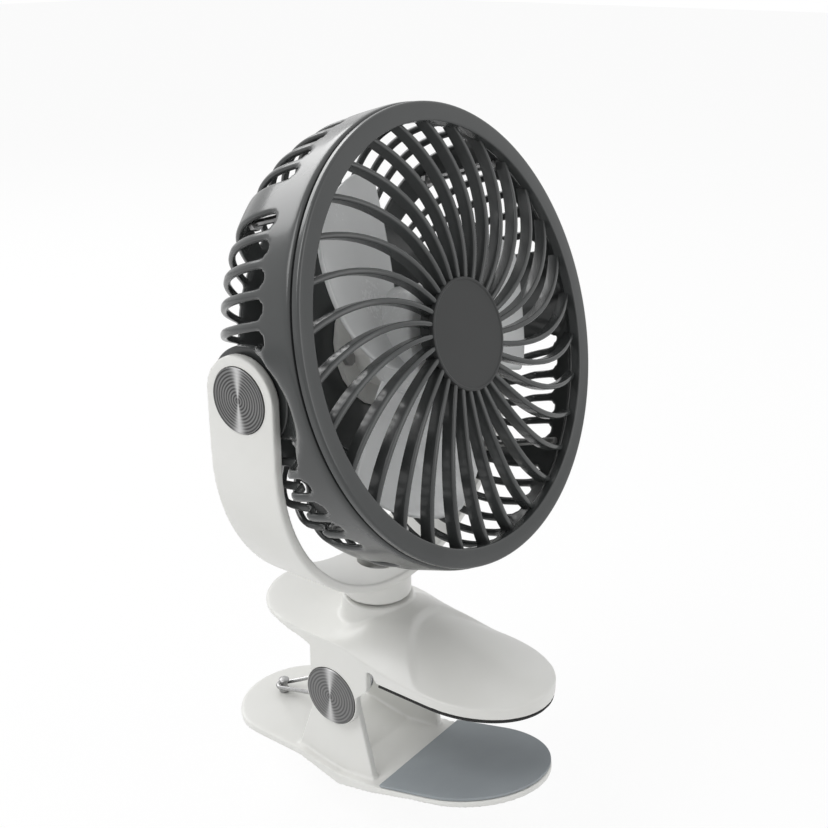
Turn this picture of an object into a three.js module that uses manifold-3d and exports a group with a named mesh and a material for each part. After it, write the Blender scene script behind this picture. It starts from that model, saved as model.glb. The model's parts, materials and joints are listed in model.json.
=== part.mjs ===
// A rechargeable clip fan: a round slotted head tilts in a U-shaped yoke, the yoke turns on a
// sprung two-jaw clamp, and the clamp grips the edge of a board. Millimetres, +Z up.
// The origin is the middle of the upper jaw's pad, on the face that rests on the board.
// The head faces -Y and is tilted up. Left is -X.

import * as THREE from 'three';
import { mergeVertices } from 'three/addons/utils/BufferGeometryUtils.js';
import Module from 'manifold-3d';

const wasm = await Module();
wasm.setup();

// ---------------------------------------------------------------- driving dimensions

const GAP = 0.3;                    // between pieces that touch or are fastened together
const RUNNING = 0.3;                // round a pin in its hole

// Head: depths are measured back from the front plane of the ring.
const HEAD_R = 81;                  // largest radius of the housing
const HEAD_WALL = 2.2;
const SHOULDER_START = 16;          // depth where the side starts to round over to the back
const BACK_DEPTH = 57.2;            // depth that the rounded back runs towards
const BACK_FLAT_R = 21;             // radius of the flat that the back's curve is drawn round
const SHOULDER_POWER = 2.67;        // squareness of the shoulder
const LIP_DEPTH = 2.9;              // front edge of the housing, behind the bezel
const TILT = 17;                    // degrees that the head looks up at rest
const PIVOT_DEPTH = 41.7;           // tilt axis behind the front plane
const HEAD_LOWEST = 43.7;           // height of the head's lowest point over the board
const PIVOT_HEIGHT = HEAD_LOWEST + HEAD_R;

// Front bezel and grille.
const BEZEL_STEP = 0.8;             // from the housing's side in to the bezel's
const BEZEL_WIDTH = 6.8;            // of its face, from its side to its opening
const BEZEL_R = HEAD_R - BEZEL_STEP;
const BEZEL_OPENING_R = BEZEL_R - BEZEL_WIDTH;
const BEZEL_FILLET = 1.8;
const BEZEL_LIP = 4.2;              // depth of the opening's inner wall
const SPIGOT_DEPTH = 7.5;           // how far the bezel's sleeve reaches into the housing
const SPIGOT_WALL = 2;
const RIBS = 30;
const RIB_SWEEP = 22.25;            // degrees that a rib turns from hub to bezel
const RIB_SWEEP_BOW = 0.39;         // how unevenly it turns
const RIB_WIDTH = 2.4;
const RIB_DEPTH = 4.6;
const RIB_PROUD_HUB = 1.6;          // front edge of a rib before the front plane, at the hub
const RIB_PROUD_RIM = -2.6;         // and at the bezel
const RIB_BULGE = 3.2;              // and the extra halfway
const HUB_SEAT_R = 18.8;
const HUB_SEAT_DEPTH = 4.4;
const HUB_CAP_R = 19.8;
const HUB_CAP_PROUD = 2.2;
const HUB_CAP_THICK = 1.9;
const HUB_CAP_RIM = 1;              // width of the cap's raised rim

// Air slots of the housing.
const SLOT_PLACES = 52;
const SLOT_SHARE = 0.66;            // open part of one place
const SLOT_FRONT = 15.4;            // depth of a slot's rounded front end
const SLOT_REACH = 24;              // from the housing's side in to a slot's end on the back
const SLOT_BACK_R = HEAD_R - SLOT_REACH;
const SLOT_CLEAR_PIVOT = 11;        // degrees kept closed either side of a tilt pivot
const CASE_SCREW_ANGLE = 48.5;      // degrees above and below the tilt axis
const CASE_SCREW_INSET = 1.9;       // from the bezel's opening in to the ring of case screws
const CASE_SCREW_R = BEZEL_OPENING_R - CASE_SCREW_INSET;
const CASE_BOSS_R = 3.6;
const CASE_SCREW_SHAFT = 1.4;
const CASE_SCREW_HEAD = 2.7;
const CASE_SCREW_SEAT = 36;         // depth of the face under a case screw's head

// Tilt pivots.
const EAR_SINK = 14.2;              // from the housing's side in to the arms' inner faces
const EAR_INNER_X = HEAD_R - EAR_SINK;
const YOKE_THICK = 3.6;
const YOKE_HALF_WIDTH = 15;
const YOKE_FLOOR = 36.5;            // height of the band's inner face at its lowest
const YOKE_ARC_HEIGHT = YOKE_FLOOR + EAR_INNER_X;
const BOSS_R = 17;                  // round seat for the arm on the housing
const BOSS_HUB_R = 7;
const BOSS_HUB_LENGTH = 8;
const WASHER_THICK = 0.5;
const TILT_WASHER_R = 10;
const DISH_R = 31;                  // hollow in the housing round each pivot, at its mouth
const DISH_MOUTH_FORWARD = 4;       // its mouth lies forward of the pivot
const DISH_MOUTH_DOWN = 7;          // and below it
const TILT_LOWEST = 7;              // degrees that the head looks up when tilted fully down
const ARM_CLEAR = 1.4;              // between arm and housing
const PIN_R = 3;
const PIN_HEAD_R = 6.6;
const PIN_HEAD_THICK = 0.8;
const CAP_R = 11.3;                 // spun metal caps over the pivot pins
const CAP_RECESS = 1.9;
const CAP_PROUD = 0.5;
const CAP_WALL = 0.9;

// Battery and control pod on the back.
const POD_R = 41;
const POD_WALL = 2.2;
const POD_PLATE = 2.4;
const COVER_DEPTH = 10.34;          // from the cover's front edge to its back
const COVER_WALL = 1.8;             // of the cover's flat back
const POD_CORNER = 6;
const BATTERY_R = 9.2;
const BATTERY_LENGTH = 65;
const BATTERY_PLAY = 1;             // room in front of the cell
const BATTERY_SPARE = 1.4;          // and behind it
const BOARD_THICK = 1.6;
const BOARD_FROM_BACK = 9.8;        // from the cover's back to the circuit board's front face
const BOARD_HALF_WIDTH = 18;
const BOARD_TOP = -11.5;            // heights beside the head's axis
const BOARD_EDGE_GAP = 9;           // from the pod's side to the board's lower edge
const BOARD_BOTTOM = BOARD_EDGE_GAP - POD_R;
const SOCKET_WIDTH = 9;
const SOCKET_HEIGHT = 3.2;
const SOCKET_LENGTH = 10.5;
const BUTTON_R = 4.6;
const BUTTON_UP = -21;
const BUTTON_PROUD = 1;
const BUTTON_TRAVEL = 0.8;
const LENS_R = 1.6;
const LENS_SIDE = 11;
const POD_SCREW_RING = 33.5;
const POD_POST_R = 3.4;
const POD_SCREW_SHAFT = 1.2;
const POD_SCREW_HEAD = 2.4;

// Motor and impeller.
const MOTOR_R = 12.5;
const MOTOR_FRONT = 17;
const MOTOR_BACK = 36.5;
const SHAFT_R = 1.25;
const MOUNT_WALL = 2;
const MOUNT_FRONT = 29;
const MOUNT_FLANGE_R = 22;
const MOUNT_FLANGE = 2;
const MOTOR_SCREW_RING = 18.4;
const IMPELLER_HUB_R = 20;
const IMPELLER_HUB_WALL = 2;
const IMPELLER_FRONT = 9.6;
const IMPELLER_HUB_BACK = 28;
const IMPELLER_BOSS_R = 3.6;
const BLADES = 3;
const BLADE_TIP_GAP = 10;           // from the bezel's opening in to the blades' tips
const BLADE_R = BEZEL_OPENING_R - BLADE_TIP_GAP;
const BLADE_THICK = 1.6;
const BLADE_FRONT = 12;
const BLADE_BACK = 27;
const BLADE_ROOT_ARC = 112;         // degrees that one blade covers at the hub
const BLADE_TIP_ARC = 47;           // and at its tip
const BLADE_LAG = 26;               // degrees that its tip lies behind its root
const BLADE_TURN = 24;              // degrees from the level to the first blade's root
const BLADE_BOW = 2.2;              // how far the middle of a blade's section is bowed back
const BLADE_TIP_RISE = 7.5;         // how much further forward its back edge is at the tip
const IMPELLER_CHAMFER = 2;
const IMPELLER_FIT = 1;             // depth of the boss over the shaft's end, and its play

// Swivel neck.
const NECK_R = 13.3;
const TOWER_TOP = 22.4;             // height of the clamp's tower
const TOWER_R = 14.3;
const NECK_WASHER_R = 11;
const NECK_FLOOR = 4.5;             // thickness of the neck's floor
const YOKE_RECESS_R = 8.2;          // round hollow over that floor
const SWIVEL_R = 3;
const SWIVEL_HEAD_R = 5.2;
const SWIVEL_HEAD = 2.4;
const SWIVEL_WASHER_R = 7.4;
const SWIVEL_WASHER = 0.8;
const NUT_R = 5.5;
const NUT_THICK = 4;
const NUT_POCKET_R = 8.5;
const NUT_POCKET_TOP = 13;

// Clamp: distances along the jaws are measured from the swivel axis, forward is negative.
const PAD_MIDDLE = -47;             // middle of the upper pad
const JAW_HALF_WIDTH = 27;
const JAW_TIP = -79.2;
const JAW_ROUND_FROM = -44.3;       // where the sides start to round towards the tip
const JAW_SOLE = 1.3;               // height of the upper jaw's underside over the board
const TAIL_END = 51.5;
const TAIL_ROUND_FROM = 24;
const PAD_THICK = 1;
const PAD_INSET = 0.3;
const PAD_REAR = -21;
const AXLE_Y = 2.5;
const AXLE_Z = -13;
const AXLE_R = 3;
const CHEEK_THICK = 3.1;
const CHEEK_R = 12.8;
const CHEEK_REAR = 13.2;
const CHEEK_TOP = 7;
const CHEEK_FRONT = -15.6;          // front edge, where the board's edge stops
const CHEEK_STOP = 4;               // how far the cheek reaches down there
const JAW_CAP_R = 12;
const JAW_CAP_RECESS = 1.6;
const JAW_CAP_PROUD = 0.6;
const LOWER_CHEEK_THICK = 3;
const LOWER_CHEEK_R = 9;
const LOWER_CHEEK_GAP = 0.5;        // between the two jaws' cheeks
const LOWER_END = 68.5;
const LOWER_ROUND_FROM = 46;
const LEVER_TOP = -46.5;
const BOARD_GAP = 30;               // thickness of the board that the open jaws hold
const LOWER_PAD_SLOPE = 0.269;      // fall of the lower pad from its tip to its back
const LOWER_PAD_THICK = 1.2;
const LOWER_PAD_TOUCH = -76;        // where the lower pad touches the board

// Upper jaw, in rows of [distance along the jaw, height].
const JAW_EDGE = [[JAW_TIP, 7.2], [-70, 6], [-60, 5.4], [-44, 5.3], [-26, 6], [-14, 8.5],
  [-2, 11.5], [12, 11.6], [24, 12.2], [TAIL_END, 13.2]];
const JAW_RIDGE = [[JAW_TIP, 7.8], [-76, 9], [-71, 10.6], [-66, 12.2], [-55, 15.8], [-42, 19],
  [-27.5, 20.8], [-14, 22], [-8, 22], [2, 14], [24, 13.6], [TAIL_END, 13.6]];
const JAW_UNDERSIDE = [[-20, JAW_SOLE], [-18.6, 4.4], [-12, 5.4], [12.6, 6], [18, 7.8], [31, 10.7],
  [52, 11.2]];
const TOWER_SPREAD = [[9, 1], [12, 0.8], [13, 0.45], [14.5, 0.2], [17, 0.05],
  [TOWER_TOP, 0]];    // height, and how far it has spread to its foot
const TOWER_FOOT_HALF_WIDTH = 18;
const TOWER_FOOT_REAR = 16.5;
const TOWER_FOOT_FRONT = -24;
const TOWER_FOOT_MIDDLE = -2;

// Lower jaw's underside and the part of its top behind the pad, in the same way.
const LOWER_BELLY = [[JAW_TIP, -33.7], [-36.4, -44.5], [-16.5, -50.8], [0, -54.4], [9.8, -52],
  [20, -49.6], [50, -49.6], [LOWER_END, -48.6]];
const LOWER_WAIST = [[0, -49.5], [12, -48], [20, LEVER_TOP], [LOWER_END, LEVER_TOP]];
const UNDER_JAWS = -70;             // a height below everything
const LOWER_CHEEK_FRONT = -16;
const LOWER_CHEEK_BACK = 24;

// Clamp spring: two coils on the axle, a V-shaped loop to a post on the lower lever, and two
// straight legs under the upper lever.
const WIRE_R = 0.9;
const COIL_R = 5.8;                 // middle of the wire
const COIL_PITCH = 3;
const COIL_TURNS = 3;               // whole turns, besides the part between the two legs
const COIL_CLEAR = 0.9;             // between a coil and the lower jaw's cheek
const COIL_OUTER_X = JAW_HALF_WIDTH - CHEEK_THICK - LOWER_CHEEK_GAP - LOWER_CHEEK_THICK
  - COIL_CLEAR - WIRE_R;            // middle of the wire at a coil's outer end
const CURL_STEPS = 8;
const WIRE_SIDES = 5;
const POST_Y = 54;
const POST_R = 1.5;
const POST_HEAD_R = 2.3;
const POST_HEAD = 1.2;
const POST_NECK = 1.5;              // bare length between the loop and the head
const LOOP_HEIGHT = 3;              // middle of the loop over the lower lever
const LEG_TIP_Y = 24;

const SLIVER = 0.04;                // largest change of shape allowed in removing slivers
const ROUND = 40;                   // sides of a large round piece
const SMALL_ROUND = 12;             // sides of a small one
const SHOULDER_STEPS = 3;           // flat faces along the housing's rounded back

// ---------------------------------------------------------------- helpers

const { cos, sin, PI, sqrt, hypot, max, min, pow } = Math;
const radians = (degrees) => degrees * PI / 180;
const v2 = (x, y) => new THREE.Vector2(x, y);
const v3 = (x, y, z) => new THREE.Vector3(x, y, z);
const mix = (a, b, t) => a + (b - a) * t;

// A geometry with only positions, its doubled points joined and its empty triangles dropped.
function weld(geometry) {
  const bare = geometry.clone();
  for (const name of Object.keys(bare.attributes)) {
    if (name !== 'position') bare.deleteAttribute(name);
  }
  const merged = mergeVertices(bare, 1e-4);
  const index = merged.index.array;
  const kept = [];
  for (let i = 0; i < index.length; i += 3) {
    const [a, b, c] = [index[i], index[i + 1], index[i + 2]];
    if (a !== b && b !== c && c !== a) kept.push(a, b, c);
  }
  merged.setIndex(kept);
  return merged;
}

function solid(geometry) {
  const welded = weld(geometry);
  return new wasm.Manifold(new wasm.Mesh({
    numProp: 3,
    vertProperties: new Float32Array(welded.attributes.position.array),
    triVerts: new Uint32Array(welded.index.array),
  }));
}

function geometryOf(manifold) {
  const { vertProperties, triVerts } = manifold.getMesh();
  const geometry = new THREE.BufferGeometry();
  geometry.setAttribute('position', new THREE.BufferAttribute(vertProperties, 3));
  geometry.setIndex(new THREE.BufferAttribute(triVerts, 1));
  geometry.computeVertexNormals();
  return geometry;
}

// The same shape with the slivers that the cuts leave taken out.
const tidy = (manifold) => manifold.simplify(SLIVER);
const join = (first, ...rest) => rest.reduce((sum, next) => sum.add(next), first);
const cut = (first, ...rest) => rest.reduce((left, next) => left.subtract(next), first);

// A closed skin over a row of rings with the same number of points, with flat or domed ends.
function loft(rings) {
  const points = rings.flat();
  const count = rings[0].length;
  const faces = [];
  for (let r = 0; r + 1 < rings.length; r++) {
    for (let i = 0; i < count; i++) {
      const j = (i + 1) % count;
      const [a, b, c, d] = [r * count + i, r * count + j, (r + 1) * count + j, (r + 1) * count + i];
      faces.push(a, b, c, a, c, d);
    }
  }
  const last = (rings.length - 1) * count;
  for (const [ring, start, flip] of [[rings[0], 0, true], [rings.at(-1), last, false]]) {
    const middle = points.length;
    points.push(ring.reduce((sum, p) => sum.add(p), v3(0, 0, 0)).divideScalar(count));
    for (let i = 0; i < count; i++) {
      const j = (i + 1) % count;
      if (flip) faces.push(middle, start + j, start + i);
      else faces.push(middle, start + i, start + j);
    }
  }
  const geometry = new THREE.BufferGeometry().setFromPoints(points);
  geometry.setIndex(faces);
  return outward(geometry);
}

// Turns the faces round if they point inwards.
function outward(geometry) {
  const p = geometry.attributes.position;
  const index = geometry.index.array;
  const [a, b, c] = [v3(), v3(), v3()];
  let volume = 0;
  for (let i = 0; i < index.length; i += 3) {
    a.fromBufferAttribute(p, index[i]);
    b.fromBufferAttribute(p, index[i + 1]);
    c.fromBufferAttribute(p, index[i + 2]);
    volume += a.dot(b.cross(c));
  }
  if (volume < 0) {
    for (let i = 0; i < index.length; i += 3) {
      [index[i + 1], index[i + 2]] = [index[i + 2], index[i + 1]];
    }
  }
  return geometry;
}

// A turned body on the Y axis from [radius, y] pairs, closed on itself or ending on the axis.
function turned(profile, sides = ROUND) {
  const closed = profile[0][0] > 0 || profile.at(-1)[0] > 0 ? [...profile, profile[0]] : profile;
  return outward(weld(new THREE.LatheGeometry(closed.map(([r, y]) => v2(r, y)), sides)));
}

// A round bar along X, Y or Z, from one coordinate to another, about a centre.
function bar(axis, from, to, radius, [across, along] = [0, 0], sides = SMALL_ROUND) {
  const geometry = new THREE.CylinderGeometry(radius, radius, Math.abs(to - from), sides);
  const middle = (from + to) / 2;
  if (axis === 'x') geometry.rotateZ(PI / 2).translate(middle, across, along);
  if (axis === 'y') geometry.translate(across, middle, along);
  if (axis === 'z') geometry.rotateX(PI / 2).translate(across, along, middle);
  return geometry;
}

function box([x0, x1], [y0, y1], [z0, z1]) {
  return new THREE.BoxGeometry(x1 - x0, y1 - y0, z1 - z0)
    .translate((x0 + x1) / 2, (y0 + y1) / 2, (z0 + z1) / 2);
}

// An outline in the YZ plane, pulled out along X.
function sideways(outline, x0, x1) {
  const shape = new THREE.Shape(outline.map(([y, z]) => v2(y, z)));
  const geometry = new THREE.ExtrudeGeometry(shape, { depth: x1 - x0, bevelEnabled: false });
  return outward(weld(geometry.applyMatrix4(new THREE.Matrix4().set(
    0, 0, 1, x0, 1, 0, 0, 0, 0, 1, 0, 0, 0, 0, 0, 1))));
}

function arcPoints([cx, cy], radius, from, to, steps) {
  return Array.from({ length: steps + 1 }, (_, i) => {
    const angle = radians(mix(from, to, i / steps));
    return [cx + radius * cos(angle), cy + radius * sin(angle)];
  });
}

// A round tube along points, with its section carried along without twist.
function tube(path, radius, sides) {
  const rings = [];
  let normal = null;
  for (let i = 0; i < path.length; i++) {
    const before = path[max(i - 1, 0)];
    const after = path[min(i + 1, path.length - 1)];
    const along = after.clone().sub(before).normalize();
    if (!normal) normal = v3(0, 1, 0).cross(along).lengthSq() > 0.01 ? v3(0, 1, 0) : v3(1, 0, 0);
    normal = normal.clone().addScaledVector(along, -normal.dot(along)).normalize();
    const other = along.clone().cross(normal);
    rings.push(Array.from({ length: sides }, (_, k) => {
      const angle = 2 * PI * k / sides;
      return path[i].clone()
        .addScaledVector(normal, radius * cos(angle))
        .addScaledVector(other, radius * sin(angle));
    }));
  }
  return loft(rings);
}

const finishes = {
  grey: { color: 0x545656, roughness: 0.28, metalness: 0 },
  white: { color: 0xe2e2e0, roughness: 0.32, metalness: 0 },
  blade: { color: 0xb9bbbb, roughness: 0.35, metalness: 0 },
  steel: { color: 0x8b8c8c, roughness: 0.3, metalness: 1 },
  black: { color: 0x1c1c1c, roughness: 0.8, metalness: 0 },
  pad: { color: 0x8d9296, roughness: 0.7, metalness: 0 },
  cell: { color: 0x2e6fa8, roughness: 0.5, metalness: 0 },
  board: { color: 0x2f6b45, roughness: 0.6, metalness: 0 },
  lens: { color: 0xf2f5f5, roughness: 0.1, metalness: 0 },
};

function piece(name, shape, finish) {
  const geometry = shape.isBufferGeometry ? shape : geometryOf(tidy(shape));
  const mesh = new THREE.Mesh(geometry, new THREE.MeshStandardMaterial(finishes[finish]));
  mesh.name = name;
  return mesh;
}

const bothSides = (make) => [['left', -1], ['right', 1]].map(([name, side]) => make(name, side));

// ---------------------------------------------------------------- head

// Head coordinates: the tilt axis is X, the fan's axis is Y, and depth runs back from the ring.
const atDepth = (depth) => depth - PIVOT_DEPTH;
const lathed = (profile, sides) => turned(profile.map(([r, d]) => [r, atDepth(d)]), sides);

// The housing's outline from its side to the pod, on its outside or a distance inside it.
function shoulder(inset, endR, steps) {
  const side = HEAD_R - inset;
  const deep = BACK_DEPTH - inset - SHOULDER_START;
  const end = Math.acos(pow((endR - BACK_FLAT_R) / (side - BACK_FLAT_R), SHOULDER_POWER / 2));
  return Array.from({ length: steps + 1 }, (_, i) => {
    const angle = end * i / steps;
    return [
      mix(BACK_FLAT_R, side, pow(cos(angle), 2 / SHOULDER_POWER)),
      SHOULDER_START + deep * pow(sin(angle), 2 / SHOULDER_POWER),
    ];
  });
}

const seamDepth = shoulder(0, POD_R, SHOULDER_STEPS).at(-1)[1] + GAP;
const podBack = seamDepth + COVER_DEPTH;
const batteryDepth = podBack - COVER_WALL - BATTERY_SPARE - BATTERY_R;
const podFloor = batteryDepth - BATTERY_R - BATTERY_PLAY - POD_PLATE;
const boardDepth = podBack - BOARD_FROM_BACK;
const lipR = BEZEL_R + GAP;
const lipInnerR = HEAD_R - HEAD_WALL;

function housingSkin() {
  const outside = shoulder(0, POD_R, SHOULDER_STEPS);
  const inside = shoulder(HEAD_WALL, POD_R, SHOULDER_STEPS - 1).reverse();
  return solid(lathed([
    [lipR, LIP_DEPTH],
    [HEAD_R, LIP_DEPTH + 3],
    ...outside,
    [POD_R - POD_WALL, outside.at(-1)[1]],
    [POD_R - POD_WALL, podFloor + POD_PLATE],
    [IMPELLER_BOSS_R, podFloor + POD_PLATE],
    [IMPELLER_BOSS_R, podFloor],
    [POD_R, podFloor],
    ...inside,
    [lipInnerR, LIP_DEPTH],
  ], SLOT_PLACES));
}

// Everything inside the housing's outer surface, to trim what is added to its wall.
function housingEnvelope() {
  return solid(lathed([
    [0, LIP_DEPTH],
    [lipR, LIP_DEPTH],
    [HEAD_R, LIP_DEPTH + 3],
    ...shoulder(0, POD_R, SHOULDER_STEPS),
    [0, BACK_DEPTH],
  ], SLOT_PLACES));
}

// One air slot: a wedge that narrows towards the axis, with a blunt round front end. Its outline
// is in [depth, share of the half width] pairs.
function slotCutter(place) {
  const half = Math.tan(PI / SLOT_PLACES * SLOT_SHARE);
  const nose = HEAD_R * half;
  const back = BACK_DEPTH + 4;
  const outline = [
    [back, -1], [SLOT_FRONT + nose, -1], [SLOT_FRONT, -0.5],
    [SLOT_FRONT, 0.5], [SLOT_FRONT + nose, 1], [back, 1],
  ];
  const wedge = loft([SLOT_BACK_R, HEAD_R + 4].map((r) => (
    outline.map(([depth, share]) => v3(r, atDepth(depth), r * half * share))
  )));
  return solid(wedge).rotate([0, 360 * place / SLOT_PLACES, 0]);
}

const screwAngles = [CASE_SCREW_ANGLE, 180 - CASE_SCREW_ANGLE, 180 + CASE_SCREW_ANGLE,
  360 - CASE_SCREW_ANGLE];

function slotIsOpen(place) {
  const angle = 360 * place / SLOT_PLACES;
  const apart = (other) => Math.abs((angle - other + 540) % 360 - 180);
  const nearPivot = [0, 180].some((pivot) => apart(pivot) < SLOT_CLEAR_PIVOT);
  const nearScrew = screwAngles.some((screw) => apart(screw) < 180 / SLOT_PLACES);
  return !nearPivot && !nearScrew;
}

// Region that an arm of the yoke sweeps, in the plane of the head's side: [forward, up] pairs.
function sweepOutline(margin) {
  const reach = 60;
  const r = YOKE_HALF_WIDTH + margin;
  const down = radians(-90 - TILT_LOWEST);
  const edge = [r * cos(down + PI / 2), r * sin(down + PI / 2)];
  return [
    ...arcPoints([0, 0], r, 90, -TILT_LOWEST, 8),
    [edge[0] + reach * cos(down), edge[1] + reach * sin(down)],
    [-reach, -reach],
    [-reach, r],
  ];
}

// The hollow round a pivot, on the right side of the head: a leaning cone that opens forward
// and down, and the path of the yoke's arm. Grow is what it is enlarged by all round.
function pivotHollow(grow) {
  const floor = EAR_INNER_X - WASHER_THICK - 2 * GAP - 1.2;
  const mouth = HEAD_R + 2;
  const cone = new THREE.CylinderGeometry(DISH_R + grow, BOSS_R + 1 + grow, mouth - floor + grow, 24);
  cone.rotateZ(-PI / 2).translate((mouth + floor - grow) / 2, 0, 0);
  const lean = 1 / (mouth - floor);
  cone.translate(-floor, 0, 0);
  cone.applyMatrix4(new THREE.Matrix4().set(
    1, 0, 0, 0,
    -DISH_MOUTH_FORWARD * lean, 1, 0, 0,
    -DISH_MOUTH_DOWN * lean, 0, 1, 0,
    0, 0, 0, 1));
  cone.translate(floor, 0, 0);
  const drop = PIVOT_HEIGHT - YOKE_ARC_HEIGHT;
  const innerArc = EAR_INNER_X;
  const armPath = [[0, floor - grow], [drop, floor - grow]];
  for (const out of [12, 22, 32, 40]) {
    armPath.push([drop + out, sqrt(innerArc * innerArc - out * out) - ARM_CLEAR - grow]);
  }
  const rim = armPath.at(-1)[0];
  const swept = new THREE.LatheGeometry(
    [...armPath, [rim, HEAD_R + 12], [0, HEAD_R + 12]].map(([r, x]) => v2(r, x)), 24);
  swept.rotateZ(-PI / 2);
  const outline = sweepOutline(ARM_CLEAR + grow).map(([forward, up]) => [-forward, up]);
  return join(
    solid(cone),
    solid(outward(weld(swept))).intersect(solid(sideways(outline, floor - 40, HEAD_R + 14))),
  );
}

function pivotBoss() {
  const face = EAR_INNER_X - WASHER_THICK - 2 * GAP;
  return join(
    solid(bar('x', face - 3.4, face, BOSS_R, [0, 0], 28)),
    solid(bar('x', face - BOSS_HUB_LENGTH, face, BOSS_HUB_R, [0, 0], 16)),
  );
}

const mirrored = (shape, side) => (side > 0 ? shape : shape.mirror([1, 0, 0]));

function onRing(radius, degrees) {
  return [radius * cos(radians(degrees)), radius * sin(radians(degrees))];
}

const postDepth = seamDepth + 1;

function housing() {
  const envelope = housingEnvelope();
  const hollow = [1, -1].map((side) => mirrored(pivotHollow(0), side));
  const lining = [1, -1].map((side) => mirrored(pivotHollow(HEAD_WALL), side));
  const behindSpigot = solid(box([-90, 90], [atDepth(SPIGOT_DEPTH + 2 * GAP), atDepth(BACK_DEPTH)],
    [-90, 90]));
  let shell = housingSkin();
  const slots = Array.from({ length: SLOT_PLACES }, (_, place) => place)
    .filter(slotIsOpen).map(slotCutter);
  shell = cut(shell, ...slots);
  const inward = solid(lathed([
    [POD_R + 6, LIP_DEPTH], [HEAD_R - 0.2, LIP_DEPTH],
    ...shoulder(0.2, POD_R + 6, SHOULDER_STEPS),
  ], SLOT_PLACES));
  for (let i = 0; i < 2; i++) {
    shell = shell.add(lining[i].intersect(inward).intersect(behindSpigot));
  }
  shell = cut(shell, ...hollow);
  for (const side of [1, -1]) {
    const face = EAR_INNER_X - WASHER_THICK - 2 * GAP;
    shell = shell.add(mirrored(pivotBoss(), side));
    const hole = bar('x', face - BOSS_HUB_LENGTH - 1, face + 1, PIN_R + RUNNING);
    shell = shell.subtract(mirrored(solid(hole), side));
  }
  const bossFront = atDepth(SPIGOT_DEPTH + 1);
  for (const angle of screwAngles) {
    const place = onRing(CASE_SCREW_R, angle);
    const column = solid(bar('y', bossFront, atDepth(seamDepth), CASE_BOSS_R, place, 8));
    shell = shell.add(column.intersect(envelope));
    shell = cut(shell,
      solid(bar('y', bossFront - 1, atDepth(seamDepth + 6), CASE_SCREW_SHAFT + RUNNING,
        place, 8)),
      solid(bar('y', atDepth(CASE_SCREW_SEAT), atDepth(seamDepth + 6),
        CASE_SCREW_HEAD + RUNNING, place, 8)));
  }
  for (const angle of [45, 135, 225, 315]) {
    const place = onRing(POD_SCREW_RING, angle);
    shell = shell.add(solid(bar('y', atDepth(podFloor + 1), atDepth(postDepth),
      POD_POST_R, place, 8)));
    shell = shell.subtract(solid(bar('y', atDepth(podFloor + POD_PLATE + 2),
      atDepth(postDepth + 1), POD_SCREW_SHAFT + RUNNING, place, 8)));
  }
  for (const side of [1, -1]) {
    shell = shell.subtract(solid(bar('y', atDepth(podFloor - 1),
      atDepth(podFloor + POD_PLATE + 1), CASE_SCREW_SHAFT + RUNNING,
      [side * MOTOR_SCREW_RING, 0], 10)));
  }
  return shell;
}

// Ribs are swept from the hub to the bezel, proud in the middle like a shallow dome.
function rib(number) {
  const start = HUB_SEAT_R - 1.5;
  const end = BEZEL_OPENING_R + 0.8;
  const steps = 3;
  const rings = Array.from({ length: steps + 1 }, (_, i) => {
    const s = i / steps;
    const r = mix(start, end, s);
    const turn = radians(RIB_SWEEP * (s - RIB_SWEEP_BOW * s * (1 - s)) + 360 * number / RIBS);
    const proud = mix(RIB_PROUD_HUB, RIB_PROUD_RIM, s) + RIB_BULGE * 4 * s * (1 - s);
    const front = atDepth(-proud);
    const half = RIB_WIDTH / 2 * mix(0.8, 1.1, s);
    const centre = v3(r * cos(turn), 0, r * sin(turn));
    const across = v3(-sin(turn), 0, cos(turn));
    return [[-0.8, 0], [0.8, 0], [1, RIB_DEPTH], [-1, RIB_DEPTH]]
      .map(([w, d]) => centre.clone().addScaledVector(across, w * half)
        .add(v3(0, front + d, 0)));
  });
  return solid(loft(rings));
}

function frontGrille() {
  const spigotR = lipInnerR - RUNNING;
  const bezel = solid(lathed([
    [BEZEL_OPENING_R, 0],
    [BEZEL_R - BEZEL_FILLET, 0],
    [BEZEL_R - BEZEL_FILLET * 0.3, BEZEL_FILLET * 0.3],
    [BEZEL_R, BEZEL_FILLET],
    [BEZEL_R, LIP_DEPTH - GAP],
    [spigotR, LIP_DEPTH - GAP],
    [spigotR, SPIGOT_DEPTH],
    [spigotR - SPIGOT_WALL, SPIGOT_DEPTH],
    [spigotR - SPIGOT_WALL, BEZEL_LIP + 2],
    [BEZEL_OPENING_R, BEZEL_LIP],
  ], 45));
  const seat = solid(lathed([
    [0, 0.3 - HUB_CAP_PROUD + HUB_CAP_THICK],
    [HUB_SEAT_R, 0.3 - HUB_CAP_PROUD + HUB_CAP_THICK],
    [HUB_SEAT_R, HUB_SEAT_DEPTH],
    [0, HUB_SEAT_DEPTH],
  ], RIBS));
  let grille = join(bezel, seat);
  const capRoom = solid(lathed([
    [0, -20], [HUB_CAP_R + GAP, -20],
    [HUB_CAP_R + GAP, 0.3 - HUB_CAP_PROUD + HUB_CAP_THICK],
    [0, 0.3 - HUB_CAP_PROUD + HUB_CAP_THICK],
  ], ROUND));
  const ribs = Array.from({ length: RIBS }, (_, number) => rib(number).subtract(capRoom));
  grille = join(grille, ...ribs);
  for (const angle of screwAngles) {
    const place = onRing(CASE_SCREW_R, angle);
    grille = grille.add(solid(bar('y', atDepth(BEZEL_LIP - 0.7), atDepth(SPIGOT_DEPTH + 1 - GAP),
      CASE_BOSS_R, place, 8)));
    grille = grille.subtract(solid(bar('y', atDepth(BEZEL_LIP + 0.8), atDepth(SPIGOT_DEPTH + 2),
      CASE_SCREW_SHAFT + RUNNING, place, 8)));
  }
  return grille;
}

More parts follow.
